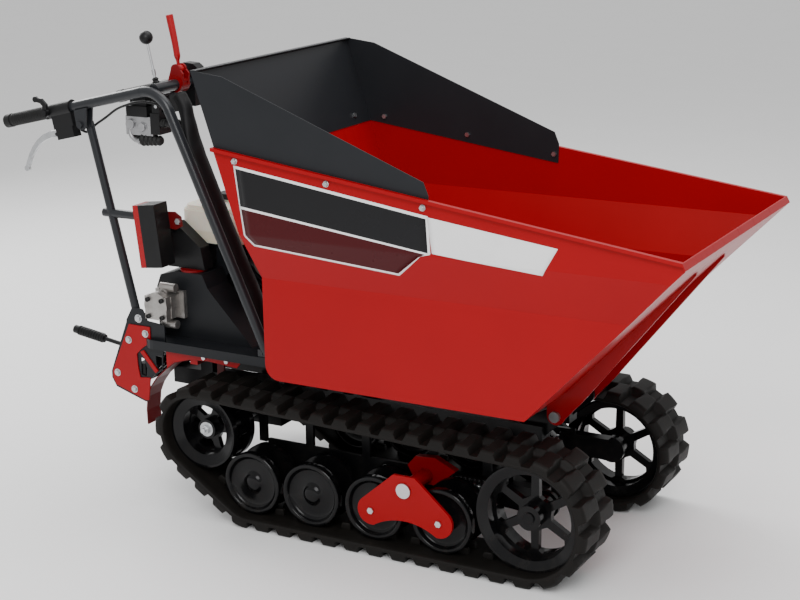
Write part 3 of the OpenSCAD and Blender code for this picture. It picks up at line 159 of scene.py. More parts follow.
class Finish:
    """One procedural material with its shader, built up by calls."""

    def __init__(self, name):
        self.material = bpy.data.materials.new(name)
        self.material.use_nodes = True
        self.tree = self.material.node_tree
        self.tree.nodes.clear()
        self.out = self.tree.nodes.new("ShaderNodeOutputMaterial")
        self.shader = self.tree.nodes.new("ShaderNodeBsdfPrincipled")
        self.tree.links.new(self.shader.outputs[0], self.out.inputs["Surface"])
        self.place = self.node("ShaderNodeTexCoord").outputs["Object"]
        split = self.node("ShaderNodeSeparateXYZ", {}, {"Vector": self.place})
        self.x, self.y, self.z = (Value(self, split.outputs[k]) for k in range(3))

    def node(self, kind, settings=None, sockets=None):
        """A node of that kind: its settings first, then the values or links of its sockets."""
        made = self.tree.nodes.new(kind)
        for key, setting in (settings or {}).items():
            setattr(made, key, setting)
        named = sockets.items() if isinstance(sockets, dict) else enumerate(sockets or [])
        for key, given in named:
            given = given.socket if isinstance(given, Value) else given
            if isinstance(given, bpy.types.NodeSocket):
                self.tree.links.new(given, made.inputs[key])
            else:
                made.inputs[key].default_value = given
        return made

    def number(self, kind, settings, sockets):
        """The first output of a new node, as a number."""
        return Value(self, self.node(kind, settings, sockets).outputs[0])

    def noise(self, scale, detail=3.0, rough=0.5, stretch=None):
        """Cloudy noise, 0 to 1, with features of 1/scale metres."""
        place = self.place
        if stretch:
            place = self.node("ShaderNodeMapping", {}, {"Vector": place, "Scale": stretch}).outputs[0]
        made = self.node("ShaderNodeTexNoise", {}, {
            "Vector": place, "Scale": scale, "Detail": detail, "Roughness": rough})
        return Value(self, made.outputs[0])

    def cells(self, scale):
        """Distance to the nearest of scattered points, about scale of them a metre."""
        made = self.node("ShaderNodeTexVoronoi", {}, {"Vector": self.place, "Scale": scale})
        return Value(self, made.outputs[0])

    def wrap(self):
        """Distance along a tube in metres and turn round it, from the piece's own UV map."""
        uv = self.node("ShaderNodeUVMap").outputs[0]
        split = self.node("ShaderNodeSeparateXYZ", {}, {"Vector": uv})
        return Value(self, split.outputs[0]), Value(self, split.outputs[1])

    def mix(self, factor, first, second):
        """First colour where factor is 0, second where it is 1."""
        made = self.node("ShaderNodeMix", {"data_type": "RGBA"}, {"Factor": factor})
        for socket, given in zip([s for s in made.inputs if s.type == "RGBA"], (first, second)):
            if isinstance(given, bpy.types.NodeSocket):
                self.tree.links.new(given, socket)
            else:
                socket.default_value = (*given[:3], 1)
        return [s for s in made.outputs if s.type == "RGBA"][0]

    def set(self, **given):
        """Sets or links sockets of the shader: Base_Color=..., Roughness=..."""
        for key, value in given.items():
            socket = self.shader.inputs[key.replace("_", " ")]
            value = value.socket if isinstance(value, Value) else value
            if isinstance(value, bpy.types.NodeSocket):
                self.tree.links.new(value, socket)
            else:
                socket.default_value = (*value, 1) if key == "Base_Color" and len(value) == 3 else value
        return self

    def bump(self, height, distance, strength=1.0):
        """Raises the surface by height times distance, in metres."""
        made = self.node("ShaderNodeBump", {}, {
            "Height": height, "Distance": distance, "Strength": strength})
        self.tree.links.new(made.outputs[0], self.shader.inputs["Normal"])
        return self


def shade(colour, k):
    """The colour with each channel times k, up to 1."""
    return tuple(min(1.0, c * k) for c in colour)


# Finishes: colours that more than one uses, the two sides of the machine as (sign of y, name), and the
# materials that are made so far. A constant over a finish is the distance, in metres, where its colour changes.
ZINC, ZINC_HEAD = (0.55, 0.56, 0.57), (0.6, 0.6, 0.61)
PLASTIC_DARK, PLASTIC_PALE = (0.005, 0.005, 0.0055), (0.009, 0.009, 0.0095)
SIDES = ((-1, "right"), (1, "left"))
FINISH = {}


def finish(name):
    """The material of that name, made the first time it is asked for."""
    if name not in FINISH:
        FINISH[name] = FINISHES[name](name).material
    return FINISH[name]


def powder_coat(name, colour, rough, peel, grime, coat=0.0, spec=0.18):
    """Sprayed paint: orange-peel bump of height peel, cloudy gloss, and dust that thickens towards the ground,
    as grime times how low the place is."""
    f = Finish(name)
    cloud = f.noise(9.0, 4.0)
    low = (0.32 - f.z).smooth(0.0, 0.32)
    dust = (f.noise(34.0, 5.0, 0.65).smooth(0.46, 0.72) * (low * 0.8 + 0.08)) * grime * 2.2
    base = f.mix(cloud, shade(colour, 0.9), shade(colour, 1.12))
    f.set(Base_Color=f.mix(dust, base, (0.16, 0.13, 0.105)))
    f.set(Roughness=cloud * 0.1 + (rough - 0.05) + dust * 0.35, Coat_Weight=coat, Coat_Roughness=0.06,
          Specular_IOR_Level=spec)
    f.bump(f.noise(420.0, 1.0) + f.noise(60.0, 2.0) * 0.8, peel, 0.5)
    return f


def red_paint(name):
    """Gloss red of ribs and plate faces."""
    return powder_coat(name, paint().red, 0.34, 0.00012, 0.03)


def dark_red_paint(name):
    """Darker red of the engine's starter."""
    return powder_coat(name, paint().dark_red, 0.38, 0.0001, 0.12)


def charcoal_paint(name):
    """Satin grey of deck, cowl and oil tank."""
    return powder_coat(name, paint().charcoal, 0.34, 0.00012, 0.03, spec=0.2)


def board_paint(name):
    """Slightly paler grey of the extension boards."""
    return powder_coat(name, shade(paint().charcoal, 1.15), 0.38, 0.0001, 0.03, spec=0.22)


def tube_paint(name):
    """Shinier grey of the handlebar and its struts."""
    return powder_coat(name, shade(paint().charcoal, 1.25), 0.3, 0.00012, 0.02, coat=0.1, spec=0.3)


def black_paint(name):
    """Black of the chassis and what hangs on it."""
    return powder_coat(name, paint().black, 0.3, 0.00012, 0.04, spec=0.16)


def wheel_paint(name):
    """Deep glossy black of the wheels."""
    return powder_coat(name, shade(paint().black, 0.8), 0.16, 0.00006, 0.02, spec=0.2)


INNER_WALL_Y, SKIP_FLOOR_Z = 0.337, 0.4285


def skip_paint(name):
    """Gloss red outside; inside, where loads slide, the paint is scuffed along the slide direction."""
    f = Finish(name)
    colour = paint().red
    cloud = f.noise(5.0, 4.0)
    inside = (INNER_WALL_Y - abs(f.y)).smooth(0.0, 0.02) * (f.z - SKIP_FLOOR_Z).smooth(0.0, 0.002)
    scuff = f.noise(46.0, 6.0, 0.7, (0.12, 1.0, 0.12)).smooth(0.55, 0.75) * inside
    base = f.mix(cloud, shade(colour, 0.93), shade(colour, 1.08))
    f.set(Base_Color=f.mix(scuff * 0.5, base, shade(colour, 0.55)))
    f.set(Roughness=cloud * 0.06 + 0.3 + scuff * 0.2, Specular_IOR_Level=0.14)
    f.bump(f.noise(380.0, 1.0) + f.noise(45.0, 2.0) * 1.1, 0.00012, 0.5)
    return f


PLATE_FACE_Y, PLATE_BOLT_Y, TOP_BOLT_Z = 0.2453, 0.2491, 0.492


def plate_paint(name):
    """The frame's own rear side plates: gloss red face, black backing, zinc bolt heads, told apart by the
    distance from the middle."""
    f = Finish(name)
    side = abs(f.y)
    face = side > PLATE_FACE_Y
    bolt = (side > PLATE_BOLT_Y).most((side > PLATE_FACE_Y) * (f.z > TOP_BOLT_Z))
    cloud = f.noise(9.0, 4.0)
    red = f.mix(cloud, shade(paint().red, 0.92), shade(paint().red, 1.08))
    f.set(Base_Color=f.mix(bolt, f.mix(face, paint().black, red), (0.5, 0.5, 0.5)))
    f.set(Roughness=cloud * 0.08 + 0.22 + bolt * 0.06, Metallic=bolt, Specular_IOR_Level=0.2)
    f.bump(f.noise(400.0, 1.0), 0.0001, 0.4)
    return f


STRIP_Y, STRIP_BOLT_Y = 0.2408, 0.24415


def guard_paint(name):
    """Mudguards: the sheet a darker red, which is painted shade of its shadowed underside, the strip under the
    deck gloss red, its bolt heads zinc.
    """
    f = Finish(name)
    side = abs(f.y)
    strip, bolt = side > STRIP_Y, side > STRIP_BOLT_Y
    cloud = f.noise(9.0, 4.0)
    # Painted shade: the sheet gets the darker red because its underside is in shadow; cloudy noise varies the
    # tone.
    sheet = f.mix(cloud, shade(paint().dark_red, 0.85), shade(paint().dark_red, 1.25))
    f.set(Base_Color=f.mix(bolt, f.mix(strip, sheet, paint().red), ZINC_HEAD), Metallic=bolt)
    f.set(Roughness=cloud * 0.1 + 0.32, Specular_IOR_Level=0.2)
    f.bump(f.noise(400.0, 1.0), 0.0001, 0.4)
    return f


BEAM_FACE_Y = 0.3403


def bogie_paint(name):
    """Bogie beams: gloss red, the pivot's washer and the axle bolts outside them zinc."""
    f = Finish(name)
    zinc = abs(f.y) > BEAM_FACE_Y
    cloud = f.noise(9.0, 4.0)
    red = f.mix(cloud, shade(paint().red, 0.92), shade(paint().red, 1.08))
    f.set(Base_Color=f.mix(zinc, red, ZINC_HEAD), Metallic=zinc, Specular_IOR_Level=0.14)
    f.set(Roughness=cloud * 0.08 + 0.28)
    f.bump(f.noise(400.0, 1.0), 0.0001, 0.4)
    return f


CABLE_Y = -0.095


def bracket_paint(name):
    """Lever bracket: dark red steel, and the black cable housing beside it."""
    f = Finish(name)
    cloud = f.noise(30.0, 3.0)
    steel = f.mix(cloud, shade(paint().red, 0.5), shade(paint().red, 0.75))
    f.set(Base_Color=f.mix(f.y > CABLE_Y, steel, paint().black), Roughness=cloud * 0.12 + 0.3,
          Specular_IOR_Level=0.2)
    f.bump(f.noise(500.0, 1.0), 0.0001, 0.4)
    return f


BOX_BRACKET_Y, BOX_BRACKET_Z = (-0.1901, -0.1855), 0.752
BOX_BOLT_Y, BOX_BOLT_X, BOX_BOLT_Z = -0.1902, -0.506, 0.766


def box_plastic(name):
    """Control box: grained black plastic, with the dark red bracket and its zinc bolt on the inner side."""
    f = Finish(name)
    cloud = f.noise(25.0, 3.0)
    plate = (f.y > BOX_BRACKET_Y[0]) * (f.y < BOX_BRACKET_Y[1]) * (f.z > BOX_BRACKET_Z)
    bolt = (f.y < BOX_BOLT_Y) * (f.x > BOX_BOLT_X) * (f.z > BOX_BOLT_Z)
    base = f.mix(plate, f.mix(cloud, PLASTIC_DARK, PLASTIC_PALE), paint().dark_red)
    f.set(Base_Color=f.mix(bolt, base, (0.62, 0.62, 0.63)), Metallic=bolt)
    f.set(Roughness=cloud * 0.1 + 0.34, Specular_IOR_Level=0.22)
    f.bump(f.noise(900.0, 2.0), 0.00016, 0.5)
    return f


COVER_DISC_Z = 0.6343


def cover_paint(name):
    """Belt cover: dark grained sheet with a dark red disc on top."""
    f = Finish(name)
    cloud = f.noise(20.0, 3.0)
    base = f.mix(cloud, shade(paint().charcoal, 0.6), shade(paint().charcoal, 0.9))
    f.set(Base_Color=f.mix(f.z > COVER_DISC_Z, base, shade(paint().red, 0.6)), Roughness=cloud * 0.1 + 0.36,
          Specular_IOR_Level=0.2)
    f.bump(f.noise(700.0, 2.0), 0.00018, 0.5)
    return f


PUMP_SCREW_Y = -0.2603


def pump_metal(name):
    """Pump: sand-grained aluminium with black cover screws."""
    f = Finish(name)
    cloud = f.noise(40.0, 4.0)
    screw = f.y < PUMP_SCREW_Y
    metal = f.mix(cloud, (0.22, 0.21, 0.2), (0.46, 0.44, 0.42))
    f.set(Base_Color=f.mix(screw, metal, (0.012, 0.012, 0.012)), Metallic=0.85 - screw * 0.5)
    f.set(Roughness=cloud * 0.16 + 0.32)
    f.bump(f.noise(700.0, 3.0), 0.00025, 0.5)
    return f


WEAVE_ALONG, WEAVE_ROUND = 1500.0, 150.8


def sleeve_cloth(name):
    """Braided protection sleeve: black with a fine diamond weave, the product of two sines that lean both ways,
    24 times round the sleeve."""
    f = Finish(name)
    along, turned = f.wrap()
    lean_one = (along * WEAVE_ALONG + turned * WEAVE_ROUND).sine()
    lean_other = (along * WEAVE_ALONG - turned * WEAVE_ROUND).sine()
    weave = lean_one * lean_other * 0.5 + 0.5
    cloud = f.noise(30.0, 4.0)
    f.set(Base_Color=f.mix(cloud, (0.0035, 0.0035, 0.004), (0.008, 0.008, 0.0085)))
    f.set(Roughness=cloud * 0.15 + 0.42, Specular_IOR_Level=0.2)
    f.bump(weave + cloud * 2.0, 0.0004, 0.5)
    return f


def zinc_plate(name):
    """Bright zinc: metal with fine brushing and cloudy tarnish."""
    f = Finish(name)
    cloud = f.noise(55.0, 4.0)
    brush = f.noise(900.0, 2.0, 0.6, (1.0, 0.06, 1.0))
    f.set(Base_Color=f.mix(cloud, shade(ZINC, 0.78), shade(ZINC, 1.12)), Metallic=1.0)
    f.set(Roughness=cloud * 0.16 + 0.24 + brush * 0.06)
    f.bump(brush, 0.00004, 0.35)
    return f


def cast_metal(name):
    """Die-cast aluminium: sand-grained, dull, with darker cloudy patches."""
    f = Finish(name)
    grain = f.noise(700.0, 3.0)
    cloud = f.noise(40.0, 4.0)
    f.set(Base_Color=f.mix(cloud, (0.24, 0.24, 0.245), (0.46, 0.46, 0.47)), Metallic=0.9)
    f.set(Roughness=cloud * 0.15 + 0.36)
    f.bump(grain, 0.00022, 0.5)
    return f


def track_rubber(name):
    """Moulded rubber: fine striations across the belt, and dust in cloudy patches, a little more of it low down.
    """
    f = Finish(name)
    cloud = f.noise(18.0, 5.0, 0.6)
    fine = f.noise(150.0, 4.0, 0.6)
    stripe = f.noise(620.0, 2.0, 0.5, (1.0, 0.05, 1.0))
    low = (0.30 - f.z).smooth(0.0, 0.3)
    dust = (cloud * 0.55 + fine * 0.45).smooth(0.48, 0.72) * (low * 0.2 + 0.1)
    base = f.mix(fine, shade(paint().rubber, 0.75), shade(paint().rubber, 1.3))
    f.set(Base_Color=f.mix(dust, base, (0.024, 0.019, 0.015)))
    f.set(Roughness=cloud * 0.12 + 0.5 + dust * 0.2, Specular_IOR_Level=0.16)
    f.bump(stripe * 0.6 + fine * 0.9, 0.0007, 0.6)
    return f


def grip_rubber(name):
    """Soft black rubber with a fine leathery grain."""
    f = Finish(name)
    grain = f.cells(700.0)
    cloud = f.noise(30.0, 3.0)
    f.set(Base_Color=f.mix(cloud, (0.0055, 0.0055, 0.0055), (0.011, 0.011, 0.011)))
    f.set(Roughness=cloud * 0.1 + 0.5, Specular_IOR_Level=0.25)
    f.bump(grain, 0.0003, 0.5)
    return f


def hose_rubber(name):
    """Hose cover: black, spiral-wrapped: a sine that climbs one ridge with each turn round the hose."""
    f = Finish(name)
    along, turned = f.wrap()
    ridge = (along * 1100.0 + turned * 6.2832).sine() * 0.5 + 0.5
    cloud = f.noise(60.0, 3.0)
    f.set(Base_Color=f.mix(cloud, (0.005, 0.005, 0.005), (0.011, 0.011, 0.012)))
    f.set(Roughness=cloud * 0.12 + 0.36, Specular_IOR_Level=0.25)
    f.bump(ridge, 0.0006, 0.6)
    return f


FUEL_Z = 0.742


def tank_plastic(name):
    """Milky blow-moulded plastic, slightly see-through, with fuel showing darker low down."""
    f = Finish(name)
    cloud = f.noise(14.0, 3.0)
    fuel = (FUEL_Z - f.z).smooth(0.0, 0.006)
    base = f.mix(cloud, shade(paint().cream, 0.92), shade(paint().cream, 1.06))
    f.set(Base_Color=f.mix(fuel * 0.4, base, (0.5, 0.43, 0.28)))
    f.set(Roughness=cloud * 0.1 + 0.34, Subsurface_Weight=0.3, Subsurface_Scale=0.02)
    f.bump(f.noise(300.0, 2.0), 0.00025, 0.4)
    return f


def black_plastic(name):
    """Moulded black plastic with a spark-eroded grain."""
    f = Finish(name)
    cloud = f.noise(25.0, 3.0)
    f.set(Base_Color=f.mix(cloud, PLASTIC_DARK, PLASTIC_PALE))
    f.set(Roughness=cloud * 0.1 + 0.34, Specular_IOR_Level=0.22)
    f.bump(f.noise(900.0, 2.0), 0.00018, 0.5)
    return f


def red_plastic(name):
    """Glossy red moulded plastic."""
    f = Finish(name)
    cloud = f.noise(25.0, 3.0)
    f.set(Base_Color=f.mix(cloud, shade(paint().red, 0.95), shade(paint().red, 1.1)))
    f.set(Roughness=cloud * 0.06 + 0.24, Specular_IOR_Level=0.3)
    f.bump(f.noise(300.0, 2.0), 0.0001, 0.4)
    return f


def soot_steel(name):
    """Heat-darkened steel of the silencer, with cloudy brown patches."""
    f = Finish(name)
    cloud = f.noise(35.0, 5.0, 0.6)
    f.set(Base_Color=f.mix(cloud, (0.03, 0.028, 0.026), (0.11, 0.08, 0.06)), Metallic=0.6)
    f.set(Roughness=cloud * 0.2 + 0.45)
    f.bump(f.noise(200.0, 3.0), 0.0003, 0.5)
    return f


def decal_film(name, colour, rough=0.25):
    """Printed vinyl: even colour under a clear layer, slightly wavy."""
    f = Finish(name)
    cloud = f.noise(12.0, 3.0)
    f.set(Base_Color=f.mix(cloud, shade(colour, 0.96), shade(colour, 1.04)))
    f.set(Roughness=cloud * 0.06 + rough, Specular_IOR_Level=0.18)
    f.bump(f.noise(25.0, 2.0), 0.0003, 0.25)
    return f


FINISHES = {
    "skip_paint": skip_paint, "red_paint": red_paint, "dark_red_paint": dark_red_paint,
    "charcoal_paint": charcoal_paint, "board_paint": board_paint, "tube_paint": tube_paint,
    "black_paint": black_paint, "wheel_paint": wheel_paint, "plate_paint": plate_paint,
    "zinc_plate": zinc_plate, "cast_metal": cast_metal, "track_rubber": track_rubber,
    "guard_paint": guard_paint, "bogie_paint": bogie_paint, "bracket_paint": bracket_paint,
    "box_plastic": box_plastic, "cover_paint": cover_paint, "pump_metal": pump_metal,
    "sleeve_cloth": sleeve_cloth, "grip_rubber": grip_rubber, "hose_rubber": hose_rubber,
    "tank_plastic": tank_plastic,
    "black_plastic": black_plastic, "red_plastic": red_plastic, "soot_steel": soot_steel,
    "decal_white": lambda n: decal_film(n, (0.82, 0.82, 0.82)),
    "decal_grey": lambda n: decal_film(n, (0.0095, 0.0095, 0.0105)),
    "decal_dark_red": lambda n: decal_film(n, (0.05, 0.002, 0.0035)),
}


def dress(material, *names):
    """Gives CAD nodes their finish, in every material slot."""
    for name in names:
        for place in NODES[name].material_slots:
            place.material = finish(material)


# Shapes: each function gives (vertices, faces), and build() makes a piece of them
def grid_faces(u, v, wrap_u=False, wrap_v=False):
    """Quads of a grid of u by v points: each joins a point with its next ones along u and v."""
    i = np.arange(u if wrap_u else u - 1)[:, None]
    j = np.arange(v if wrap_v else v - 1)[None, :]
    k, m = (i + 1) % u, (j + 1) % v
    return np.stack(np.broadcast_arrays(i * v + j, i * v + m, k * v + m, k * v + j), -1).reshape(-1, 4)


NEAR_Y = np.array([0.12, 1.0, 0.07])


def frames_along(path):
    """Unit tangent and two normals at each point: the first normal is the tangent crossed with a line close to
    the Y axis, which no path here follows, and the second is the tangent crossed with the first."""
    path = np.asarray(path, float)
    tangent = np.gradient(path, axis=0)
    tangent /= np.linalg.norm(tangent, axis=1)[:, None]
    first = np.cross(tangent, NEAR_Y)
    first /= np.linalg.norm(first, axis=1)[:, None]
    return tangent, first, np.cross(tangent, first)


def tube(path, radius, sides=20):
    """Points path + radius (cos a first + sin a second), with a face of all its sides at each end."""
    path = np.asarray(path, float)
    tangent, first, second = frames_along(path)
    a = np.linspace(0, 2 * np.pi, sides, endpoint=False)
    r = np.broadcast_to(radius, len(path))
    ring = path[:, None] + r[:, None, None] * (
        np.cos(a)[None, :, None] * first[:, None] + np.sin(a)[None, :, None] * second[:, None])
    verts = ring.reshape(-1, 3)
    faces = [list(q) for q in grid_faces(len(path), sides, False, True)]
    faces += [list(range(sides))[::-1], list(range(len(verts) - sides, len(verts)))]
    return verts, faces


def lathe(profile, centre, axis="y", sides=64):
    """A profile of (distance along the axis, radius) turned about the axis through centre: each point goes to
    (along, radius cos a, radius sin a). A profile that starts and ends at radius 0, or ends where it starts,
    gives a closed shape."""
    profile = np.asarray(profile, float)
    a = np.linspace(0, 2 * np.pi, sides, endpoint=False)
    along = np.repeat(profile[:, 0], sides)
    c = (profile[:, 1][:, None] * np.cos(a)).ravel()
    s = (profile[:, 1][:, None] * np.sin(a)).ravel()
    order = {"x": (along, c, s), "y": (s, along, c), "z": (c, s, along)}[axis]
    verts = np.stack(order, -1) + np.asarray(centre, float)
    return verts, [list(q) for q in grid_faces(len(profile), sides, False, True)]


def box(low, high):
    """The eight corners of a box between two opposite corners, and its six faces."""
    corners = [(x, y, z) for x in (low[0], high[0]) for y in (low[1], high[1]) for z in (low[2], high[2])]
    return corners, [[0, 1, 3, 2], [4, 6, 7, 5], [0, 4, 5, 1], [2, 3, 7, 6], [0, 2, 6, 4], [1, 5, 7, 3]]


def cut_plate(outline, holes, y0, y1):
    """A flat plate across Y between y0 and y1, its outline and holes given in (x, z)."""
    loops = [outline, *holes]
    points = [point for loop in loops for point in loop]
    triangles = tessellate_polygon([[Vector((x, z, 0)) for x, z in loop] for loop in loops])
    n, start = len(points), 0
    verts = [(x, y0, z) for x, z in points] + [(x, y1, z) for x, z in points]
    faces = [list(t) for t in triangles] + [[i + n for i in reversed(t)] for t in triangles]
    for loop in loops:
        for i in range(len(loop)):
            a, b = start + i, start + (i + 1) % len(loop)
            faces.append([a, b, b + n, a + n])
        start += len(loop)
    return verts, faces


def hex_bolt(x, y, z, side, radius=0.008, height=0.006):
    """A hexagon head with a chamfer, on a washer against a face at distance y from the middle plane."""
    washer = [(0.0, 0.0), (0.0, radius * 1.35), (0.0012, radius * 1.35), (0.0012, 0.0)]
    head = [(0.0012, 0.0), (0.0012, radius), (height - 0.001, radius), (height, radius * 0.86), (height, 0.0)]
    return [lathe([(side * (y + o), r) for o, r in washer], (x, 0, z), "y", 32),
            lathe([(side * (y + o), r) for o, r in head], (x, 0, z), "y", 6)]


def lean(shape, pivot, degrees):
    """The shape turned about an axis along Y through pivot; a positive angle moves its top towards +X."""
    verts, faces = shape
    v = np.asarray(verts, float) - np.asarray(pivot, float)
    c, s = math.cos(math.radians(degrees)), math.sin(math.radians(degrees))
    turned = np.stack([v[:, 0] * c + v[:, 2] * s, v[:, 1], v[:, 2] * c - v[:, 0] * s], -1)
    return turned + np.asarray(pivot, float), faces


def bellows(start, length, radius, end_radius, ribs, depth):
    """Profile of a ribbed boot: its radius goes evenly from radius to end_radius, and each rib, a raised cosine,
    stands depth over the groove beside it."""
    t = np.linspace(0, 1, ribs * 8 + 1)
    wave = depth * (0.5 - 0.5 * np.cos(2 * np.pi * ribs * t))
    r = radius + (end_radius - radius) * t - depth + wave
    return [(start, 0.0), *zip(start + length * t, r), (start + length, 0.0)]


def smooth_path(points, step=4):
    """Catmull-Rom curve through the points, step pieces between each two: half of
    2b + (c - a) t + (2a - 5b + 4c - d) t squared + (3b - a - 3c + d) t cubed, for neighbours a, b, c and d."""
    p = np.asarray(points, float)
    q = np.vstack([2 * p[0] - p[1], p, 2 * p[-1] - p[-2]])
    t = np.linspace(0, 1, step, endpoint=False)[:, None]
    runs = [0.5 * (2 * b + (c - a) * t + (2 * a - 5 * b + 4 * c - d) * t ** 2 + (3 * b - a - 3 * c + d) * t ** 3)
            for a, b, c, d in zip(q[:-3], q[1:-2], q[2:-1], q[3:])]
    return np.vstack([*runs, p[-1:]])


def ease(x, low, high):
    """Smooth step from 0 at low to 1 at high: 3 t squared less 2 t cubed, with t the share of the way."""
    t = np.clip((x - low) / (high - low), 0, 1)
    return t * t * (3 - 2 * t)


def build(name, shapes, body, replaced=(), angle=35, bevel=0.0, weld=True):
    """One mesh piece out of (shape, finish name) pairs, which rides on body and stands for the CAD nodes in
    replaced."""
    verts, faces, which, names = [], [], [], []
    for (v, f), material in shapes:
        start = sum(len(x) for x in verts)
        verts.append(np.asarray(v, float))
        faces += [[int(i) + start for i in q] for q in f]
        if material not in names:
            names.append(material)
        which += [names.index(material)] * len(f)
    mesh = bpy.data.meshes.new(name)
    mesh.from_pydata(np.vstack(verts).tolist(), [], faces)
    mesh.polygons.foreach_set("material_index", which)
    mesh.polygons.foreach_set("use_smooth", [True] * len(faces))
    work = bmesh.new()
    work.from_mesh(mesh)
    if weld:
        bmesh.ops.remove_doubles(work, verts=work.verts, dist=0.000005)
    bmesh.ops.recalc_face_normals(work, faces=work.faces)
    work.to_mesh(mesh)
    work.free()
    mesh.set_sharp_from_angle(angle=math.radians(angle))
    piece = bpy.data.objects.new(name, mesh)
    bpy.context.scene.collection.objects.link(piece)
    for material in names:
        mesh.materials.append(finish(material))
    if bevel:
        edge = piece.modifiers.new("edges", "BEVEL")
        edge.width, edge.segments, edge.limit_method = bevel, 2, "ANGLE"
    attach(piece, body)
    if replaced:
        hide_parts(*replaced)
    return piece


# Hoses: port of the valve in (x, z), top of the deck, and the points of each route down to the deck
PORT = (-0.5157, 1.0466)
DECK_TOP = 0.4462
HOSE_ROUTES = [
    [(PORT[0], -0.194, PORT[1]), (-0.5, -0.194, PORT[1]), (-0.48, -0.197, 1.045), (-0.452, -0.206, 1.030),
     (-0.426, -0.216, 1.002), (-0.404, -0.221, 0.955), (-0.38, -0.222, 0.9), (-0.334, -0.221, 0.792),
     (-0.296, -0.218, 0.705), (-0.252, -0.214, 0.6), (-0.214, -0.21, 0.505), (-0.204, -0.208, DECK_TOP + 0.02),
     (-0.203, -0.208, DECK_TOP)],
    [(PORT[0], -0.166, PORT[1]), (-0.5, -0.166, PORT[1]), (-0.482, -0.167, 1.045), (-0.455, -0.17, 1.032),
     (-0.428, -0.176, 1.0), (-0.404, -0.18, 0.955), (-0.38, -0.18, 0.9), (-0.334, -0.18, 0.792),
     (-0.296, -0.179, 0.705), (-0.252, -0.178, 0.6), (-0.214, -0.178, 0.505), (-0.204, -0.178, DECK_TOP + 0.02),
     (-0.203, -0.178, DECK_TOP)],
]
HARNESS = [(-0.474, -0.19, 1.1226), (-0.456, -0.19, 1.098), (-0.445, -0.192, 1.066), (-0.43, -0.196, 1.02),
           (-0.408, -0.2, 0.968), (-0.382, -0.201, 0.905), (-0.36, -0.201, 0.85), (-0.334, -0.201, 0.788),
           (-0.294, -0.199, 0.7), (-0.25, -0.196, 0.6), (-0.212, -0.193, 0.505),
           (-0.203, -0.193, DECK_TOP + 0.022), (-0.202, -0.193, DECK_TOP)]
BRAKE_CABLE = [(-0.773, -0.236, 1.018), (-0.769, -0.222, 1.011), (-0.762, -0.211, 1.014),
               (-0.744, -0.209, 1.031), (-0.707, -0.211, 1.053), (-0.66, -0.222, 1.08),
               (-0.62, -0.231, 1.095), (-0.58, -0.234, 1.106), (-0.534, -0.234, 1.108),
               (-0.492, -0.234, 1.097), (-0.465, -0.233, 1.068), (-0.44, -0.232, 1.022),
               (-0.414, -0.232, 0.962), (-0.388, -0.232, 0.902), (-0.34, -0.232, 0.795),
               (-0.3, -0.231, 0.705), (-0.258, -0.229, 0.605), (-0.225, -0.228, 0.51),
               (-0.216, -0.227, DECK_TOP + 0.014), (-0.215, -0.227, DECK_TOP)]
SLEEVE = [(-0.473, -0.186, 1.124), (-0.4575, -0.188, 1.103), (-0.445, -0.192, 1.066), (-0.4305, -0.197, 1.02),
          (-0.411, -0.2005, 0.968), (-0.384, -0.2005, 0.905), (-0.36, -0.2005, 0.85), (-0.334, -0.2005, 0.79),
          (-0.295, -0.2, 0.702), (-0.251, -0.198, 0.602), (-0.214, -0.196, 0.508),
          (-0.2055, -0.195, DECK_TOP + 0.02), (-0.205, -0.195, DECK_TOP + 0.0005)]
SLEEVE_HALF_WIDTH, SLEEVE_HALF_DEPTH, SLEEVE_SWELL = 0.0205, 0.0185, 0.0098


def wrap_uv(piece, path, sides):
    """UV map of a tube: u the distance along it in metres, v the turn round it from 0 to 1."""
    steps = np.linalg.norm(np.diff(path, axis=0), axis=1)
    along = np.concatenate([[0], np.cumsum(steps)])
    mesh = piece.data
    layer = mesh.uv_layers.new(name="wrap")
    index = np.empty(len(mesh.loops), int)
    mesh.loops.foreach_get("vertex_index", index)
    u, v = along[np.minimum(index // sides, len(along) - 1)], (index % sides) / sides
    layer.data.foreach_set("uv", np.stack([u, v], -1).ravel())


def hose(name, points, diameter, replaced=()):
    """A tube along a smooth curve through the points, with a UV map along it."""
    path = smooth_path(points, 6)
    sides = 20
    piece = build(name, [(tube(path, diameter / 2, sides), "hose_rubber")], "chassis", replaced, weld=False)
    wrap_uv(piece, path, sides)


def sleeve():
    """The braided sleeve round the hoses: an ellipse swept down their middle line, which widens below the bar
    and is rippled by slow sines so that it creases."""
    path = smooth_path(SLEEVE, 10)
    tangent = frames_along(path)[0]
    flat = np.cross(tangent, np.array([0.0, 1.0, 0.0]))
    flat /= np.linalg.norm(flat, axis=1)[:, None]
    side = np.cross(flat, tangent)
    s = np.linspace(0, 1, len(path))
    swell = ease(s, 0.12, 0.3)
    wide = SLEEVE_HALF_WIDTH + SLEEVE_SWELL * swell + 0.0006 * np.sin(s * 47.0) * swell
    thick = SLEEVE_HALF_DEPTH - 0.003 * swell + 0.0008 * np.sin(s * 61.0 + 1.0)
    sides = 40
    a = np.linspace(0, 2 * np.pi, sides, endpoint=False)
    ring = path[:, None] + (wide[:, None] * np.cos(a))[..., None] * side[:, None] \
        + (thick[:, None] * np.sin(a))[..., None] * flat[:, None]
    faces = [list(q) for q in grid_faces(len(path), sides, False, True)]
    faces += [list(range(sides))[::-1], list(range((len(path) - 1) * sides, len(path) * sides))]
    piece = build("hose_sleeve", [((ring.reshape(-1, 3), faces), "sleeve_cloth")], "chassis", weld=False)
    wrap_uv(piece, path, sides)


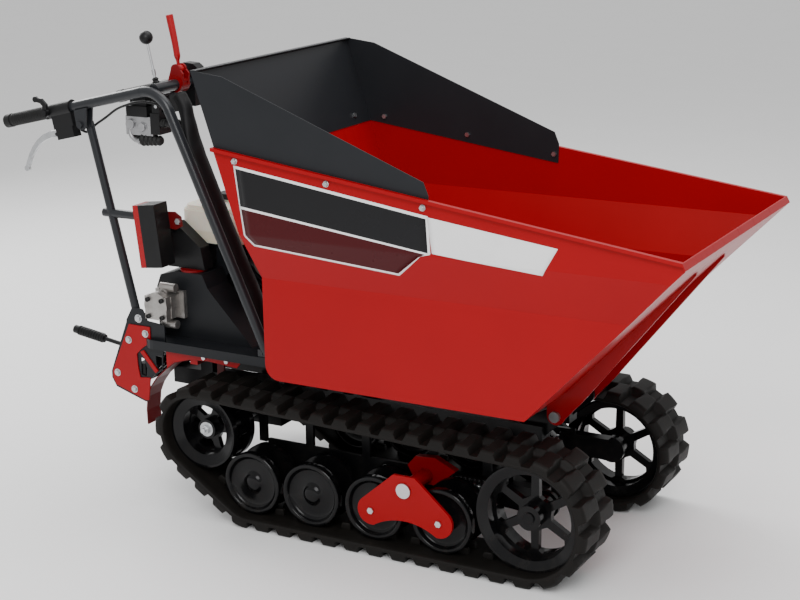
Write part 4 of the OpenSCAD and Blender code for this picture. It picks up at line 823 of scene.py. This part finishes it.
class CARRIER_OT_hoses(bpy.types.Operator):
    """Hydraulic hoses, the wrapped harness and the brake cable, from the levers down to the deck"""

    bl_idname = "carrier.hoses"
    bl_label = "Hoses"

    def execute(self, context):
        s = sizes()
        hose("hose_pressure", HOSE_ROUTES[0], s.hose_d, replaced=("hoses",))
        hose("hose_return", HOSE_ROUTES[1], s.hose_d)
        hose("harness_sleeve", HARNESS, s.harness_d)
        hose("brake_cable", BRAKE_CABLE, s.cable_d)
        sleeve()
        return {"FINISHED"}


# Control valve: the middle of its lever's pin, the lever's ball over it, and how far back the lever leans
PIVOT = (-0.540, -0.180, 1.0926)
BALL_Z, BALL_R, STICK_LEAN = 0.184, 0.0185, 11.9


class CARRIER_OT_valve(bpy.types.Operator):
    """Control valve under the cross tube with its boots and elbow, and its lever with ball and boot"""

    bl_idname = "carrier.valve"
    bl_label = "Control valve"

    def execute(self, context):
        y = PIVOT[1]
        # Body, round plug, hexagon plug, elbow and the elbow's nut
        metal = [box((-0.646, y - 0.022, 1.010), (-0.556, y + 0.024, 1.062)),
                 lathe([(y - 0.0296, 0), (y - 0.0296, 0.0125), (y - 0.0285, 0.0137), (y - 0.02, 0.0137),
                        (y - 0.02, 0)], (-0.628, 0, 1.040), "y", 40),
                 lathe([(y - 0.0296, 0), (y - 0.0296, 0.0118), (y - 0.0285, 0.013), (y - 0.02, 0.013),
                        (y - 0.02, 0)], (-0.590, 0, 1.034), "y", 6),
                 tube(smooth_path([(-0.634, y - 0.018, 1.03), (-0.6345, y - 0.0195, 1.018),
                                   (-0.629, y - 0.02, 1.004), (-0.618, y - 0.02, 0.996),
                                   (-0.606, y - 0.02, 0.993)], 6), 0.0062, 20),
                 lathe([(-0.606, 0), (-0.606, 0.009), (-0.598, 0.009), (-0.598, 0)],
                       (0, y - 0.02, 0.993), "x", 6)]
        # Cap, lever housing, its two cheeks and the end block under it
        dark = [box((-0.640, y - 0.026, 1.061), (-0.570, y + 0.026, 1.0905)),
                box((-0.628, y - 0.022, 1.090), (-0.574, y + 0.022, 1.1185)),
                box((-0.554, y - 0.024, 1.055), (-0.528, y - 0.012, 1.1204)),
                box((-0.554, y + 0.012, 1.055), (-0.528, y + 0.024, 1.1204)),
                box((-0.560, y - 0.026, 1.016), (-0.529, y + 0.026, 1.074))]
        # Spool boot, the two hose boots and the small boot beside the elbow
        boots = [lathe(bellows(-0.600, 0.066, 0.019, 0.0135, 5, 0.003), (0, y - 0.012, 0.998), "x", 32)]
        boots += [lathe(bellows(-0.53, 0.0145, 0.0128, 0.0115, 2, 0.0015), (0, y + dy, PORT[1]), "x", 32)
                  for dy in (-0.014, 0.014)]
        boots.append(lathe(bellows(-0.646, 0.05, 0.011, 0.0095, 4, 0.0022), (0, y + 0.012, 1.0), "x", 32))
        pin = lathe([(y - 0.026, 0), (y - 0.026, 0.005), (y + 0.026, 0.005), (y + 0.026, 0)],
                    (PIVOT[0], 0, PIVOT[2]), "y", 24)
        build("valve_body", [(m, "cast_metal") for m in metal] + [(d, "black_plastic") for d in dark]
              + [(b, "grip_rubber") for b in boots] + [(pin, "zinc_plate")],
              "chassis", ("valve_block",), angle=40, bevel=0.0014, weld=False)
        ball = [(BALL_Z - BALL_R * math.cos(t), BALL_R * math.sin(t)) for t in np.linspace(0, np.pi, 28)]
        rod = [(0.0075, 0.0), (0.0075, 0.0038), (0.082, 0.0038), (0.0825, 0.0055), (0.0975, 0.0055),
               (0.098, 0.0036), (0.168, 0.0036), (0.168, 0.0)]
        stick = [(lathe(bellows(0.034, 0.042, 0.0162, 0.0085, 5, 0.0028), PIVOT, "z", 40), "grip_rubber"),
                 (lathe(rod, PIVOT, "z", 24), "zinc_plate"), (lathe(ball, PIVOT, "z", 48), "black_plastic")]
        hub = lathe([(-0.0117, 0.0052), (-0.0117, 0.011), (0.0117, 0.011), (0.0117, 0.0052),
                     (-0.0117, 0.0052)], PIVOT, "y", 32)
        build("valve_stick_lever", [(lean(shape, PIVOT, -STICK_LEAN), look) for shape, look in stick]
              + [(hub, "black_plastic")], "valve_stick", ("valve_lever",), angle=40, weld=False)
        return {"FINISHED"}


# Rear side plates: outlines of the red face, the dark backing, its windows and its diagonal bar, in (x, z)
FACE_PLATE = [(-0.640, 0.484), (-0.707, 0.338), (-0.7065, 0.320), (-0.6955, 0.299), (-0.595, 0.267),
              (-0.584, 0.269), (-0.575, 0.336), (-0.611, 0.332), (-0.617, 0.371), (-0.618, 0.400),
              (-0.598, 0.419), (-0.568, 0.441), (-0.568, 0.484)]
BACK_PLATE = [(-0.652, 0.486), (-0.650, 0.496), (-0.630, 0.530), (-0.624, 0.532), (-0.598, 0.532),
              (-0.592, 0.530), (-0.578, 0.500), (-0.520, 0.494), (-0.520, 0.444), (-0.528, 0.418),
              (-0.533, 0.363), (-0.553, 0.351), (-0.578, 0.331), (-0.592, 0.2625), (-0.600, 0.2618),
              (-0.699, 0.292), (-0.7135, 0.317), (-0.7135, 0.337)]
WINDOWS = [[(-0.607, 0.391), (-0.596, 0.388), (-0.588, 0.361), (-0.591, 0.337), (-0.608, 0.340)],
           [(-0.555, 0.402), (-0.534, 0.404), (-0.536, 0.366), (-0.547, 0.363), (-0.555, 0.379)]]
BAR = [(-0.606, 0.408), (-0.594, 0.414), (-0.547, 0.360), (-0.556, 0.352)]
# Distances of the two sheets' faces from the middle plane, and the places of the bolts
FACE_Y, BACK_Y = (0.24505, 0.249), (0.241, 0.245)
FACE_BOLTS = [(-0.643, 0.438), (-0.689, 0.336), (-0.632, 0.295), (-0.584, 0.463)]
BACK_BOLT = (-0.608, 0.503)
# Pump screws: their places, and a head's profile as (y, radius) with its socket
PUMP_SCREW_X, PUMP_SCREW_Z = (-0.558, -0.512), (0.521, 0.569)
SCREW_HEAD = [(-0.2598, 0.0), (-0.2598, 0.0066), (-0.2672, 0.0066), (-0.2682, 0.0056), (-0.2682, 0.0034),
              (-0.2650, 0.0030), (-0.2650, 0.0)]
# Drive lever: its plane, its hub, and its middle line from the hub up
LEVER_Y, LEVER_HUB = -0.125, (-0.516, 0, 1.1846)
LEVER = [(-0.516, 1.190), (-0.5175, 1.205), (-0.519, 1.2206), (-0.5215, 1.238), (-0.524, 1.2546),
         (-0.5275, 1.273), (-0.531, 1.2906), (-0.5342, 1.306), (-0.537, 1.3206), (-0.5383, 1.3275),
         (-0.5388, 1.3300)]


class CARRIER_OT_rear(bpy.types.Operator):
    """Rear side plates with their windows and bolts, cover screws of the pump, and the red drive lever"""

    bl_idname = "carrier.rear"
    bl_label = "Rear plates and lever"

    def execute(self, context):
        for side, hand in SIDES:
            face, back = [side * y for y in FACE_Y], [side * y for y in BACK_Y]
            shapes = [(cut_plate(FACE_PLATE, [], *face), "red_paint"), (cut_plate(BAR, [], *face), "red_paint"),
                      (cut_plate(BACK_PLATE, WINDOWS, *back), "charcoal_paint")]
            for x, z in FACE_BOLTS:
                shapes += [(part, "zinc_plate") for part in hex_bolt(x, FACE_Y[1], z, side)]
            shapes += [(part, "zinc_plate") for part in hex_bolt(BACK_BOLT[0], BACK_Y[1], BACK_BOLT[1], side,
                                                                 0.009, 0.007)]
            build(f"side_plate_{hand}", shapes, "chassis", ("rear_plates",) if side < 0 else (), angle=30,
                  bevel=0.0004, weld=False)
        build("pump_screws", [(lathe(SCREW_HEAD, (x, 0, z), "y", 28), "black_plastic")
                              for x in PUMP_SCREW_X for z in PUMP_SCREW_Z], "chassis", weld=False)
        path = smooth_path([(x, LEVER_Y, z) for x, z in LEVER], 4)
        s = np.linspace(0, 1, len(path))
        radius = 0.0046 + 0.0042 * ease(s, 0.1, 0.2) + 0.0012 * ease(s, 0.3, 0.8)
        radius *= np.sqrt(np.clip(1 - (ease(s, 0.93, 1.0) * 0.96) ** 2, 0, 1))
        hub = lathe([(-0.1345, 0.00515), (-0.1345, 0.012), (-0.1155, 0.012), (-0.1155, 0.00515),
                     (-0.1345, 0.00515)], LEVER_HUB, "y", 40)
        build("drive_handle", [(tube(path, radius, 24), "red_plastic"), (hub, "red_plastic")], "drive_stick",
              ("drive_lever",), angle=50, weld=False)
        return {"FINISHED"}


# Tracks: middle plane, thickness of the belt, height of a lug, number of links, and the three running
# circles as (x, z, radius), from the idler round by the sprocket to the last road wheel
TRACK_Y, BELT, LUG, LINKS = 0.276, 0.012, 0.018, 40
TRACK_LOOP = np.array([[0.618, 0.170, 0.140], [-0.348, 0.240, 0.103], [-0.194, 0.116, 0.086]])


def track_line(stations):
    """Inner face of the belt, as points and outward normals: the belt's middle line is laid round the three
    circles along their outer tangents, and stepped in equal lengths from under the idler."""
    nxt = np.roll(TRACK_LOOP, -1, axis=0)
    d = nxt[:, :2] - TRACK_LOOP[:, :2]
    span = np.hypot(*d.T)
    leave = np.arctan2(d[:, 1], d[:, 0]) - np.arccos((TRACK_LOOP[:, 2] - nxt[:, 2]) / span)
    leave = np.where(leave < np.array([0, np.pi / 2, np.pi]), leave + 2 * np.pi, leave)
    arrive = np.roll(leave, 1) - np.array([2 * np.pi, 0, 0])
    arc = (TRACK_LOOP[:, 2] + BELT / 2) * (leave - arrive)
    run = np.sqrt(span ** 2 - (TRACK_LOOP[:, 2] - nxt[:, 2]) ** 2)
    lengths = np.stack([arc, run], -1).ravel()
    ends = np.cumsum(lengths)
    s = np.linspace(0, ends[-1], stations, endpoint=False)
    k = np.minimum(np.searchsorted(ends, s, side="right"), 5)
    part = s - (ends[k] - lengths[k])
    wheel = k // 2
    turn = np.where(k % 2 == 0, arrive[wheel] + part / (TRACK_LOOP[wheel, 2] + BELT / 2), leave[wheel])
    out = np.stack([np.cos(turn), np.sin(turn)], -1)
    ahead = np.stack([-np.sin(turn), np.cos(turn)], -1) * np.where(k % 2 == 0, 0, part)[:, None]
    return TRACK_LOOP[wheel, :2] + TRACK_LOOP[wheel, 2][:, None] * out + ahead, out, s, ends[-1] / LINKS


def lug_height(s, w, pitch):
    """Height of the tread over the belt, 0 to 1: two rows of rounded lugs, half a pitch apart, that meet in
    the middle as a zigzag. Each lug is flat on top and falls smoothly to both sides."""
    rows = []
    for phase, inner in ((0.0, w), (0.5, -w)):
        off = np.abs((s / pitch - phase + 0.5) % 1.0 - 0.5) * pitch
        flank = 1 - ease(off, 0.0135 + 0.004 * ease(-inner, 0.02, 0.07), 0.0245)
        rows.append(flank * (1 - ease(inner, 0.0, 0.016)) * (1 - 0.35 * ease(-inner, 0.083, 0.0897)))
    return np.maximum(*rows)


def belt(side):
    """The belt as one closed surface: stations along the loop by points round its cross-section."""
    line, out, s, pitch = track_line(LINKS * 20)
    across = np.concatenate([[-0.0897, -0.087], np.linspace(-0.083, -0.018, 8), np.linspace(-0.014, 0.014, 9),
                             np.linspace(0.018, 0.083, 8), [0.087, 0.0897]])
    outer = BELT - 0.0015 + (LUG + 0.0015) * lug_height(s[:, None], across[None, :], pitch)
    low = np.array([[0.090, 0.009], [0.090, 0.003], [0.087, 0.0003]])
    inner = np.linspace(0.07, -0.07, 8)
    w = np.concatenate([across, low[:, 0], inner, -low[::-1, 0]])
    h = np.concatenate([low[:, 1], np.full(8, 0.0003), low[::-1, 1]])
    height = np.hstack([outer, np.broadcast_to(h, (len(s), len(h)))])
    x = line[:, None, 0] + height * out[:, None, 0]
    z = line[:, None, 1] + height * out[:, None, 1]
    y = np.broadcast_to(side * (TRACK_Y - w), x.shape)
    return np.stack([x, y, z], -1).reshape(-1, 3), [list(q) for q in grid_faces(len(s), len(w), True, True)]


def horns(side):
    """Guide horns: two rows of blocks that stand inwards, each a tapered box with its top edge rounded in."""
    line, out, _, _ = track_line(LINKS * 4)
    line, out = line[1::4], out[1::4]
    ahead = np.stack([-out[:, 1], out[:, 0]], -1)
    corner = np.array([[-1, -1], [1, -1], [1, 1], [-1, 1]], float)
    levels = [(0.0008, 0.0145, 1.0), (-0.013, 0.0125, 0.96), (-0.0168, 0.0105, 0.8), (-0.0178, 0.008, 0.6)]
    shapes = []
    for middle in (0.0195, -0.0195):
        rings = []
        for height, half, wide in levels:
            u = corner[:, 0] * half
            w = middle + corner[:, 1] * 0.0054 * wide
            x = line[:, None, 0] + height * out[:, None, 0] + u * ahead[:, None, 0]
            z = line[:, None, 1] + height * out[:, None, 1] + u * ahead[:, None, 1]
            rings.append(np.stack([x, np.broadcast_to(side * (TRACK_Y - w), x.shape), z], -1))
        verts = np.stack(rings, 1).reshape(-1, 3)
        each = [list(q) for q in grid_faces(4, 4, False, True)] + [[12, 13, 14, 15]]
        shapes.append((verts, [[i + 16 * k for i in q] for k in range(len(line)) for q in each]))
    return shapes


class CARRIER_OT_tracks(bpy.types.Operator):
    """Rubber tracks with rounded zigzag lugs outside and two rows of guide horns inside"""

    bl_idname = "carrier.tracks"
    bl_label = "Tracks"

    def execute(self, context):
        for side, hand in SIDES:
            shapes = [(belt(side), "track_rubber")] + [(h, "track_rubber") for h in horns(side)]
            build(f"rubber_track_{hand}", shapes, "chassis", (f"track_{hand}",), angle=50, weld=False)
        return {"FINISHED"}


# Road wheels: half profiles as (distance from the middle plane, radius), and where the axles are
HALF_WHEEL = [(0.0385, 0.029), (0.0372, 0.034), (0.0365, 0.05), (0.0365, 0.063), (0.0385, 0.0685),
              (0.0435, 0.0718), (0.0495, 0.0738), (0.0513, 0.0765), (0.0518, 0.0795), (0.0513, 0.0838),
              (0.0495, 0.0855), (0.029, 0.0857), (0.0272, 0.0845), (0.0268, 0.070), (0.0268, 0.040),
              (0.030, 0.0265)]
BOSS = [(0.0478, 0.0), (0.0478, 0.009), (0.0468, 0.0185), (0.0445, 0.0222), (0.0405, 0.0245)]
WHEEL_X, WHEEL_Z = {1: -0.194, 2: -0.009, 3: 0.182, 4: 0.378}, 0.116
# Outer end of the sprocket's hub, and the profiles of what is on it
SPROCKET_HUB = (-0.348, 0.306, 0.240)
WASHER = [(-0.0005, 0.0), (-0.0005, 0.0205), (0.0018, 0.0205), (0.0024, 0.0198), (0.0024, 0.0)]
NUT = [(0.0024, 0.0), (0.0024, 0.0125), (0.0034, 0.0138), (0.0112, 0.0138), (0.0122, 0.0125), (0.0122, 0.0)]
STUD = [(0.0122, 0.0), (0.0122, 0.0072), (0.0195, 0.0072), (0.0202, 0.0062), (0.0202, 0.0)]


def wheel_profile(capped):
    """Road wheel: two dished discs on one hub, with a rolled rim each; a cap closes the hub where one shows."""
    inner = [(-o, r) for o, r in HALF_WHEEL[::-1]]
    bore = [(-0.0420, 0.0245), (-0.0420, 0.0102)]
    if capped:
        return BOSS + HALF_WHEEL + inner + bore + [(0.0463, 0.0102), (0.0463, 0.0)]
    return [(0.0420, 0.0102), (0.0420, 0.0245)] + HALF_WHEEL + inner + bore + [(0.0420, 0.0102)]


class CARRIER_OT_wheels(bpy.types.Operator):
    """Road wheels turned from one profile, and the washers and nuts of the axles"""

    bl_idname = "carrier.wheels"
    bl_label = "Wheels"

    def execute(self, context):
        for side, hand in SIDES:
            for k, x in WHEEL_X.items():
                profile = [(side * o, r) for o, r in wheel_profile(k < 3)]
                node = f"road_wheel_{k}_{hand}"
                build("disc_" + node, [(lathe(profile, (x, side * TRACK_Y, WHEEL_Z), "y", 96), "wheel_paint")],
                      node + "_body", (node,), angle=40)
            hub = (SPROCKET_HUB[0], side * SPROCKET_HUB[1], SPROCKET_HUB[2])
            build(f"sprocket_nut_{hand}",
                  [(lathe([(side * o, r) for o, r in profile], hub, "y", sides), "zinc_plate")
                   for profile, sides in ((WASHER, 48), (NUT, 6), (STUD, 32))],
                  f"drive_sprocket_{hand}_body", angle=30)
        return {"FINISHED"}


# Tension springs: the rod's height, distance from the middle plane and front end, and the coil's sizes
SPRING_Y, SPRING_Z, ROD_END = 0.199, 0.174, 0.4738
SPRING_START, SPRING_LENGTH, SPRING_R, SPRING_TURNS, WIRE_R = 0.0212, 0.0956, 0.015, 7, 0.0031


class CARRIER_OT_springs(bpy.types.Operator):
    """Track tension rods: a coil spring on a threaded rod with its nut and plates"""

    bl_idname = "carrier.springs"
    bl_label = "Tension springs"

    def execute(self, context):
        x0 = float(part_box("tension_springs")[0][0])
        z = SPRING_Z
        for side, hand in SIDES:
            y = side * SPRING_Y
            t = np.linspace(0, 1, 240)
            turn = 2 * np.pi * SPRING_TURNS * t
            coil = np.stack([x0 + SPRING_START + SPRING_LENGTH * t * 0.96, y + SPRING_R * np.cos(turn),
                             z + SPRING_R * np.sin(turn)], -1)
            thread = np.linspace(x0, ROD_END, 300)
            ridge = 0.0076 + 0.0004 * np.abs(np.sin(thread * 1400.0))
            rod = np.stack([thread, np.full_like(thread, y), np.full_like(thread, z)], -1)
            nut = lathe([(0.006, 0.0), (0.006, 0.0145), (0.0075, 0.016), (0.0165, 0.016), (0.018, 0.0145),
                         (0.018, 0.0)], (x0, y, z), "x", 6)
            plate = lathe([(0.462, 0.0), (0.462, 0.017), (0.463, 0.018), (0.4728, 0.018), (ROD_END, 0.017),
                           (ROD_END, 0.0)], (0, y, z), "x", 40)
            build(f"tension_spring_{hand}",
                  [(tube(coil, WIRE_R, 10), "black_paint"), (tube(rod, ridge, 16), "zinc_plate"),
                   (nut, "zinc_plate"), (plate, "zinc_plate")],
                  "chassis", ("tension_springs",) if side < 0 else (), weld=False)
        return {"FINISHED"}


# Decals: half widths of the skip's side over and under its fold, and the heights of the fold's edges
WALL_Y, LOW_Y, FOLD_LOW, FOLD_HIGH = 0.384, 0.345, 0.700, 0.818
FILM = 0.0002


def wall_at(z):
    """Half width of the skip's side at height z: straight over the upper fold, slanting in below it."""
    z = np.asarray(z, float)
    return np.where(z >= FOLD_HIGH, WALL_Y, LOW_Y + (z - FOLD_LOW) * (WALL_Y - LOW_Y) / (FOLD_HIGH - FOLD_LOW))


def patch(rear, front, lift, side, rows=48, columns=24):
    """A film on the skip's side between two edge lines of (x, z): each row joins the edges at one height."""
    rear, front = np.array(rear, float), np.array(front, float)
    s = np.linspace(0, 1, rows)

    def edge(line):
        d = np.concatenate([[0], np.cumsum(np.linalg.norm(np.diff(line, axis=0), axis=1))])
        return np.stack([np.interp(s * d[-1], d, line[:, k]) for k in (0, 1)], -1)

    a, b = edge(rear), edge(front)
    t = np.linspace(0, 1, columns)[None, :, None]
    xz = a[:, None] * (1 - t) + b[:, None] * t
    y = side * (wall_at(xz[..., 1]) + lift)
    verts = np.stack([xz[..., 0], y, xz[..., 1]], -1).reshape(-1, 3)
    return verts, [list(q) for q in grid_faces(rows, columns)]


class CARRIER_OT_decals(bpy.types.Operator):
    """Plain two-tone band and blank label on both sides of the skip"""

    bl_idname = "carrier.decals"
    bl_label = "Side decals"

    def execute(self, context):
        lift = sizes().decal_lift
        for side, hand in SIDES:
            shapes = [
                (patch([(-0.170, 0.994), (-0.146, 0.814), (-0.123, 0.789)],
                       [(0.381, 0.916), (0.387, 0.823), (0.360, 0.816), (0.291, 0.756)], lift, side),
                 "decal_white"),
                (patch([(-0.164, 0.986), (-0.153, 0.891)], [(0.375, 0.909), (0.380, 0.826)], 1.6 * lift, side),
                 "decal_grey"),
                (patch([(-0.151, 0.884), (-0.141, 0.817), (-0.119, 0.794)],
                       [(0.372, 0.822), (0.352, 0.812), (0.289, 0.762)], 1.6 * lift, side), "decal_dark_red"),
                (patch([(0.378, 0.914), (0.391, 0.826)], [(0.716, 0.872), (0.676, 0.803)], 1.3 * lift, side),
                 "decal_white"),
            ]
            piece = build(f"decal_{hand}", shapes, "skip", ("side_panels",) if side < 0 else (), weld=False)
            skin = piece.modifiers.new("film", "SOLIDIFY")
            skin.thickness, skin.offset = FILM, 1.0
        return {"FINISHED"}


# Finishes of the pieces that the frame already has
WHEELS = [f"road_wheel_{k}_{hand}" for k in WHEEL_X for _, hand in SIDES]


class CARRIER_OT_finishes(bpy.types.Operator):
    """Finishes of the pieces that the frame already has"""

    bl_idname = "carrier.finishes"
    bl_label = "Finishes"

    def execute(self, context):
        dress("skip_paint", "skip_tub")
        dress("red_paint", "skip_ribs")
        dress("bogie_paint", "bogie_right", "bogie_left", "bogie_brackets")
        dress("plate_paint", "rear_plates")
        dress("dark_red_paint", "recoil_starter")
        dress("guard_paint", "mudguards")
        dress("bracket_paint", "lever_bracket")
        dress("box_plastic", "control_box")
        dress("cover_paint", "belt_cover")
        dress("pump_metal", "gear_pump")
        dress("board_paint", "board_right", "board_left", "board_rear")
        dress("charcoal_paint", "deck", "engine_cowl", "oil_tank")
        dress("tube_paint", "handlebar", "bar_struts")
        dress("black_paint", "chassis_frame", "idler_forks", "gearbox", "lift_barrel", "engine_block")
        dress("wheel_paint", *WHEELS, "idler_right", "idler_left", "drive_sprocket_right",
              "drive_sprocket_left")
        dress("track_rubber", "track_right", "track_left")
        dress("zinc_plate", "board_bolts", "hinge_pins", "lift_rod", "brake_lever_right", "brake_lever_left")
        dress("cast_metal", "valve_block")
        dress("tank_plastic", "fuel_tank")
        dress("soot_steel", "muffler")
        dress("black_plastic", "fuel_cap", "air_filter", "ignition_key", "gear_lever", "lever_clamps",
              "throttle_lever", "valve_lever")
        dress("red_plastic", "box_cover", "drive_lever")
        dress("grip_rubber", "grips")
        return {"FINISHED"}


# Stage: a square floor a little under the tracks, and lights as (name, place, aim, size in metres, watts)
FLOOR_HALF, FLOOR_POINTS, FLOOR_DROP = 45, 64, 0.0002
WORLD_LIGHT = 0.85
LIGHTS = (("key_light", (1.6, -3.6, 3.6), (0, 0, 0.6), 2.6, 150),
          ("rim_light", (-3.4, 1.6, 2.8), (0, 0, 0.7), 2.2, 110),
          ("top_light", (0.4, 0.6, 4.2), (0, 0, 0.5), 3.2, 110))
# Camera at the photograph's place: its axes before the roll, lens in millimetres and roll in degrees
CAMERA_PLACE = Vector((2.208, -3.789, 1.784))
CAMERA_RIGHT, CAMERA_UP = Vector((0.8726, 0.4884, 0)), Vector((-0.1305, 0.2332, 0.9636))
CAMERA_BACK = Vector((0.4707, -0.8409, 0.2673))
LENS, SENSOR, CAMERA_ROLL = 75.41, 36, -0.883


class CARRIER_OT_stage(bpy.types.Operator):
    """Pale floor, soft studio light and the camera at the photograph's place"""

    bl_idname = "carrier.stage"
    bl_label = "Stage"

    def execute(self, context):
        scene = context.scene
        line = np.linspace(-FLOOR_HALF, FLOOR_HALF, FLOOR_POINTS)
        x, y = np.meshgrid(line, line, indexing="ij")
        verts = np.stack([x, y, np.zeros_like(x) - FLOOR_DROP], -1).reshape(-1, 3)
        mesh = bpy.data.meshes.new("floor")
        mesh.from_pydata(verts.tolist(), [], [list(q)[::-1] for q in grid_faces(FLOOR_POINTS, FLOOR_POINTS)])
        floor = bpy.data.objects.new("floor", mesh)
        scene.collection.objects.link(floor)
        f = Finish("floor_paper")
        f.set(Base_Color=f.mix(f.noise(3.0), (0.83, 0.83, 0.83), (0.86, 0.86, 0.86)), Roughness=0.8)
        mesh.materials.append(f.material)
        world = bpy.data.worlds.new("studio")
        scene.world = world
        world.use_nodes = True
        back = world.node_tree.nodes["Background"]
        back.inputs[0].default_value = (1, 1, 1, 1)
        back.inputs[1].default_value = WORLD_LIGHT
        for name, place, aim, size, power in LIGHTS:
            light = bpy.data.lights.new(name, "AREA")
            light.energy, light.size = power, size
            lamp = bpy.data.objects.new(name, light)
            lamp.matrix_world = Matrix.Translation(place) @ (
                Vector(aim) - Vector(place)).to_track_quat("-Z", "Y").to_matrix().to_4x4()
            scene.collection.objects.link(lamp)
        camera = bpy.data.cameras.new("photo_camera")
        camera.lens, camera.sensor_width, camera.clip_end = LENS, SENSOR, 100
        roll = math.radians(CAMERA_ROLL)
        right = CAMERA_RIGHT * math.cos(roll) + CAMERA_UP * math.sin(roll)
        up = CAMERA_UP * math.cos(roll) - CAMERA_RIGHT * math.sin(roll)
        stand = bpy.data.objects.new("photo_camera", camera)
        turn = Matrix((right, up, CAMERA_BACK)).transposed().to_4x4()
        turn.translation = CAMERA_PLACE
        stand.matrix_world = turn
        scene.collection.objects.link(stand)
        scene.camera = stand
        return {"FINISHED"}


OPERATORS = (CARRIER_OT_stage, CARRIER_OT_finishes, CARRIER_OT_hoses, CARRIER_OT_valve, CARRIER_OT_rear,
             CARRIER_OT_tracks, CARRIER_OT_wheels, CARRIER_OT_springs, CARRIER_OT_decals)


class CARRIER_PT_panel(bpy.types.Panel):
    """The carrier's pieces and colours in the sidebar"""

    bl_idname = "CARRIER_PT_panel"
    bl_label = "Carrier"
    bl_space_type = "VIEW_3D"
    bl_region_type = "UI"
    bl_category = "Carrier"

    def draw(self, context):
        for group in (context.scene.carrier_paint, context.scene.carrier_sizes):
            for key in group.__annotations__:
                self.layout.prop(group, key)
        for operator in OPERATORS:
            self.layout.operator(operator.bl_idname)


CLASSES = (CarrierPaint, CarrierSizes, *OPERATORS, CARRIER_PT_panel)


def register():
    for cls in CLASSES:
        bpy.utils.register_class(cls)
    bpy.types.Scene.carrier_paint = bpy.props.PointerProperty(type=CarrierPaint)
    bpy.types.Scene.carrier_sizes = bpy.props.PointerProperty(type=CarrierSizes)


def unregister():
    del bpy.types.Scene.carrier_sizes
    del bpy.types.Scene.carrier_paint
    for cls in reversed(CLASSES):
        bpy.utils.unregister_class(cls)


def main():
    register()
    for operator in OPERATORS:
        family, name = operator.bl_idname.split(".")
        getattr(getattr(bpy.ops, family), name)()


if __name__ == "__main__":
    main()
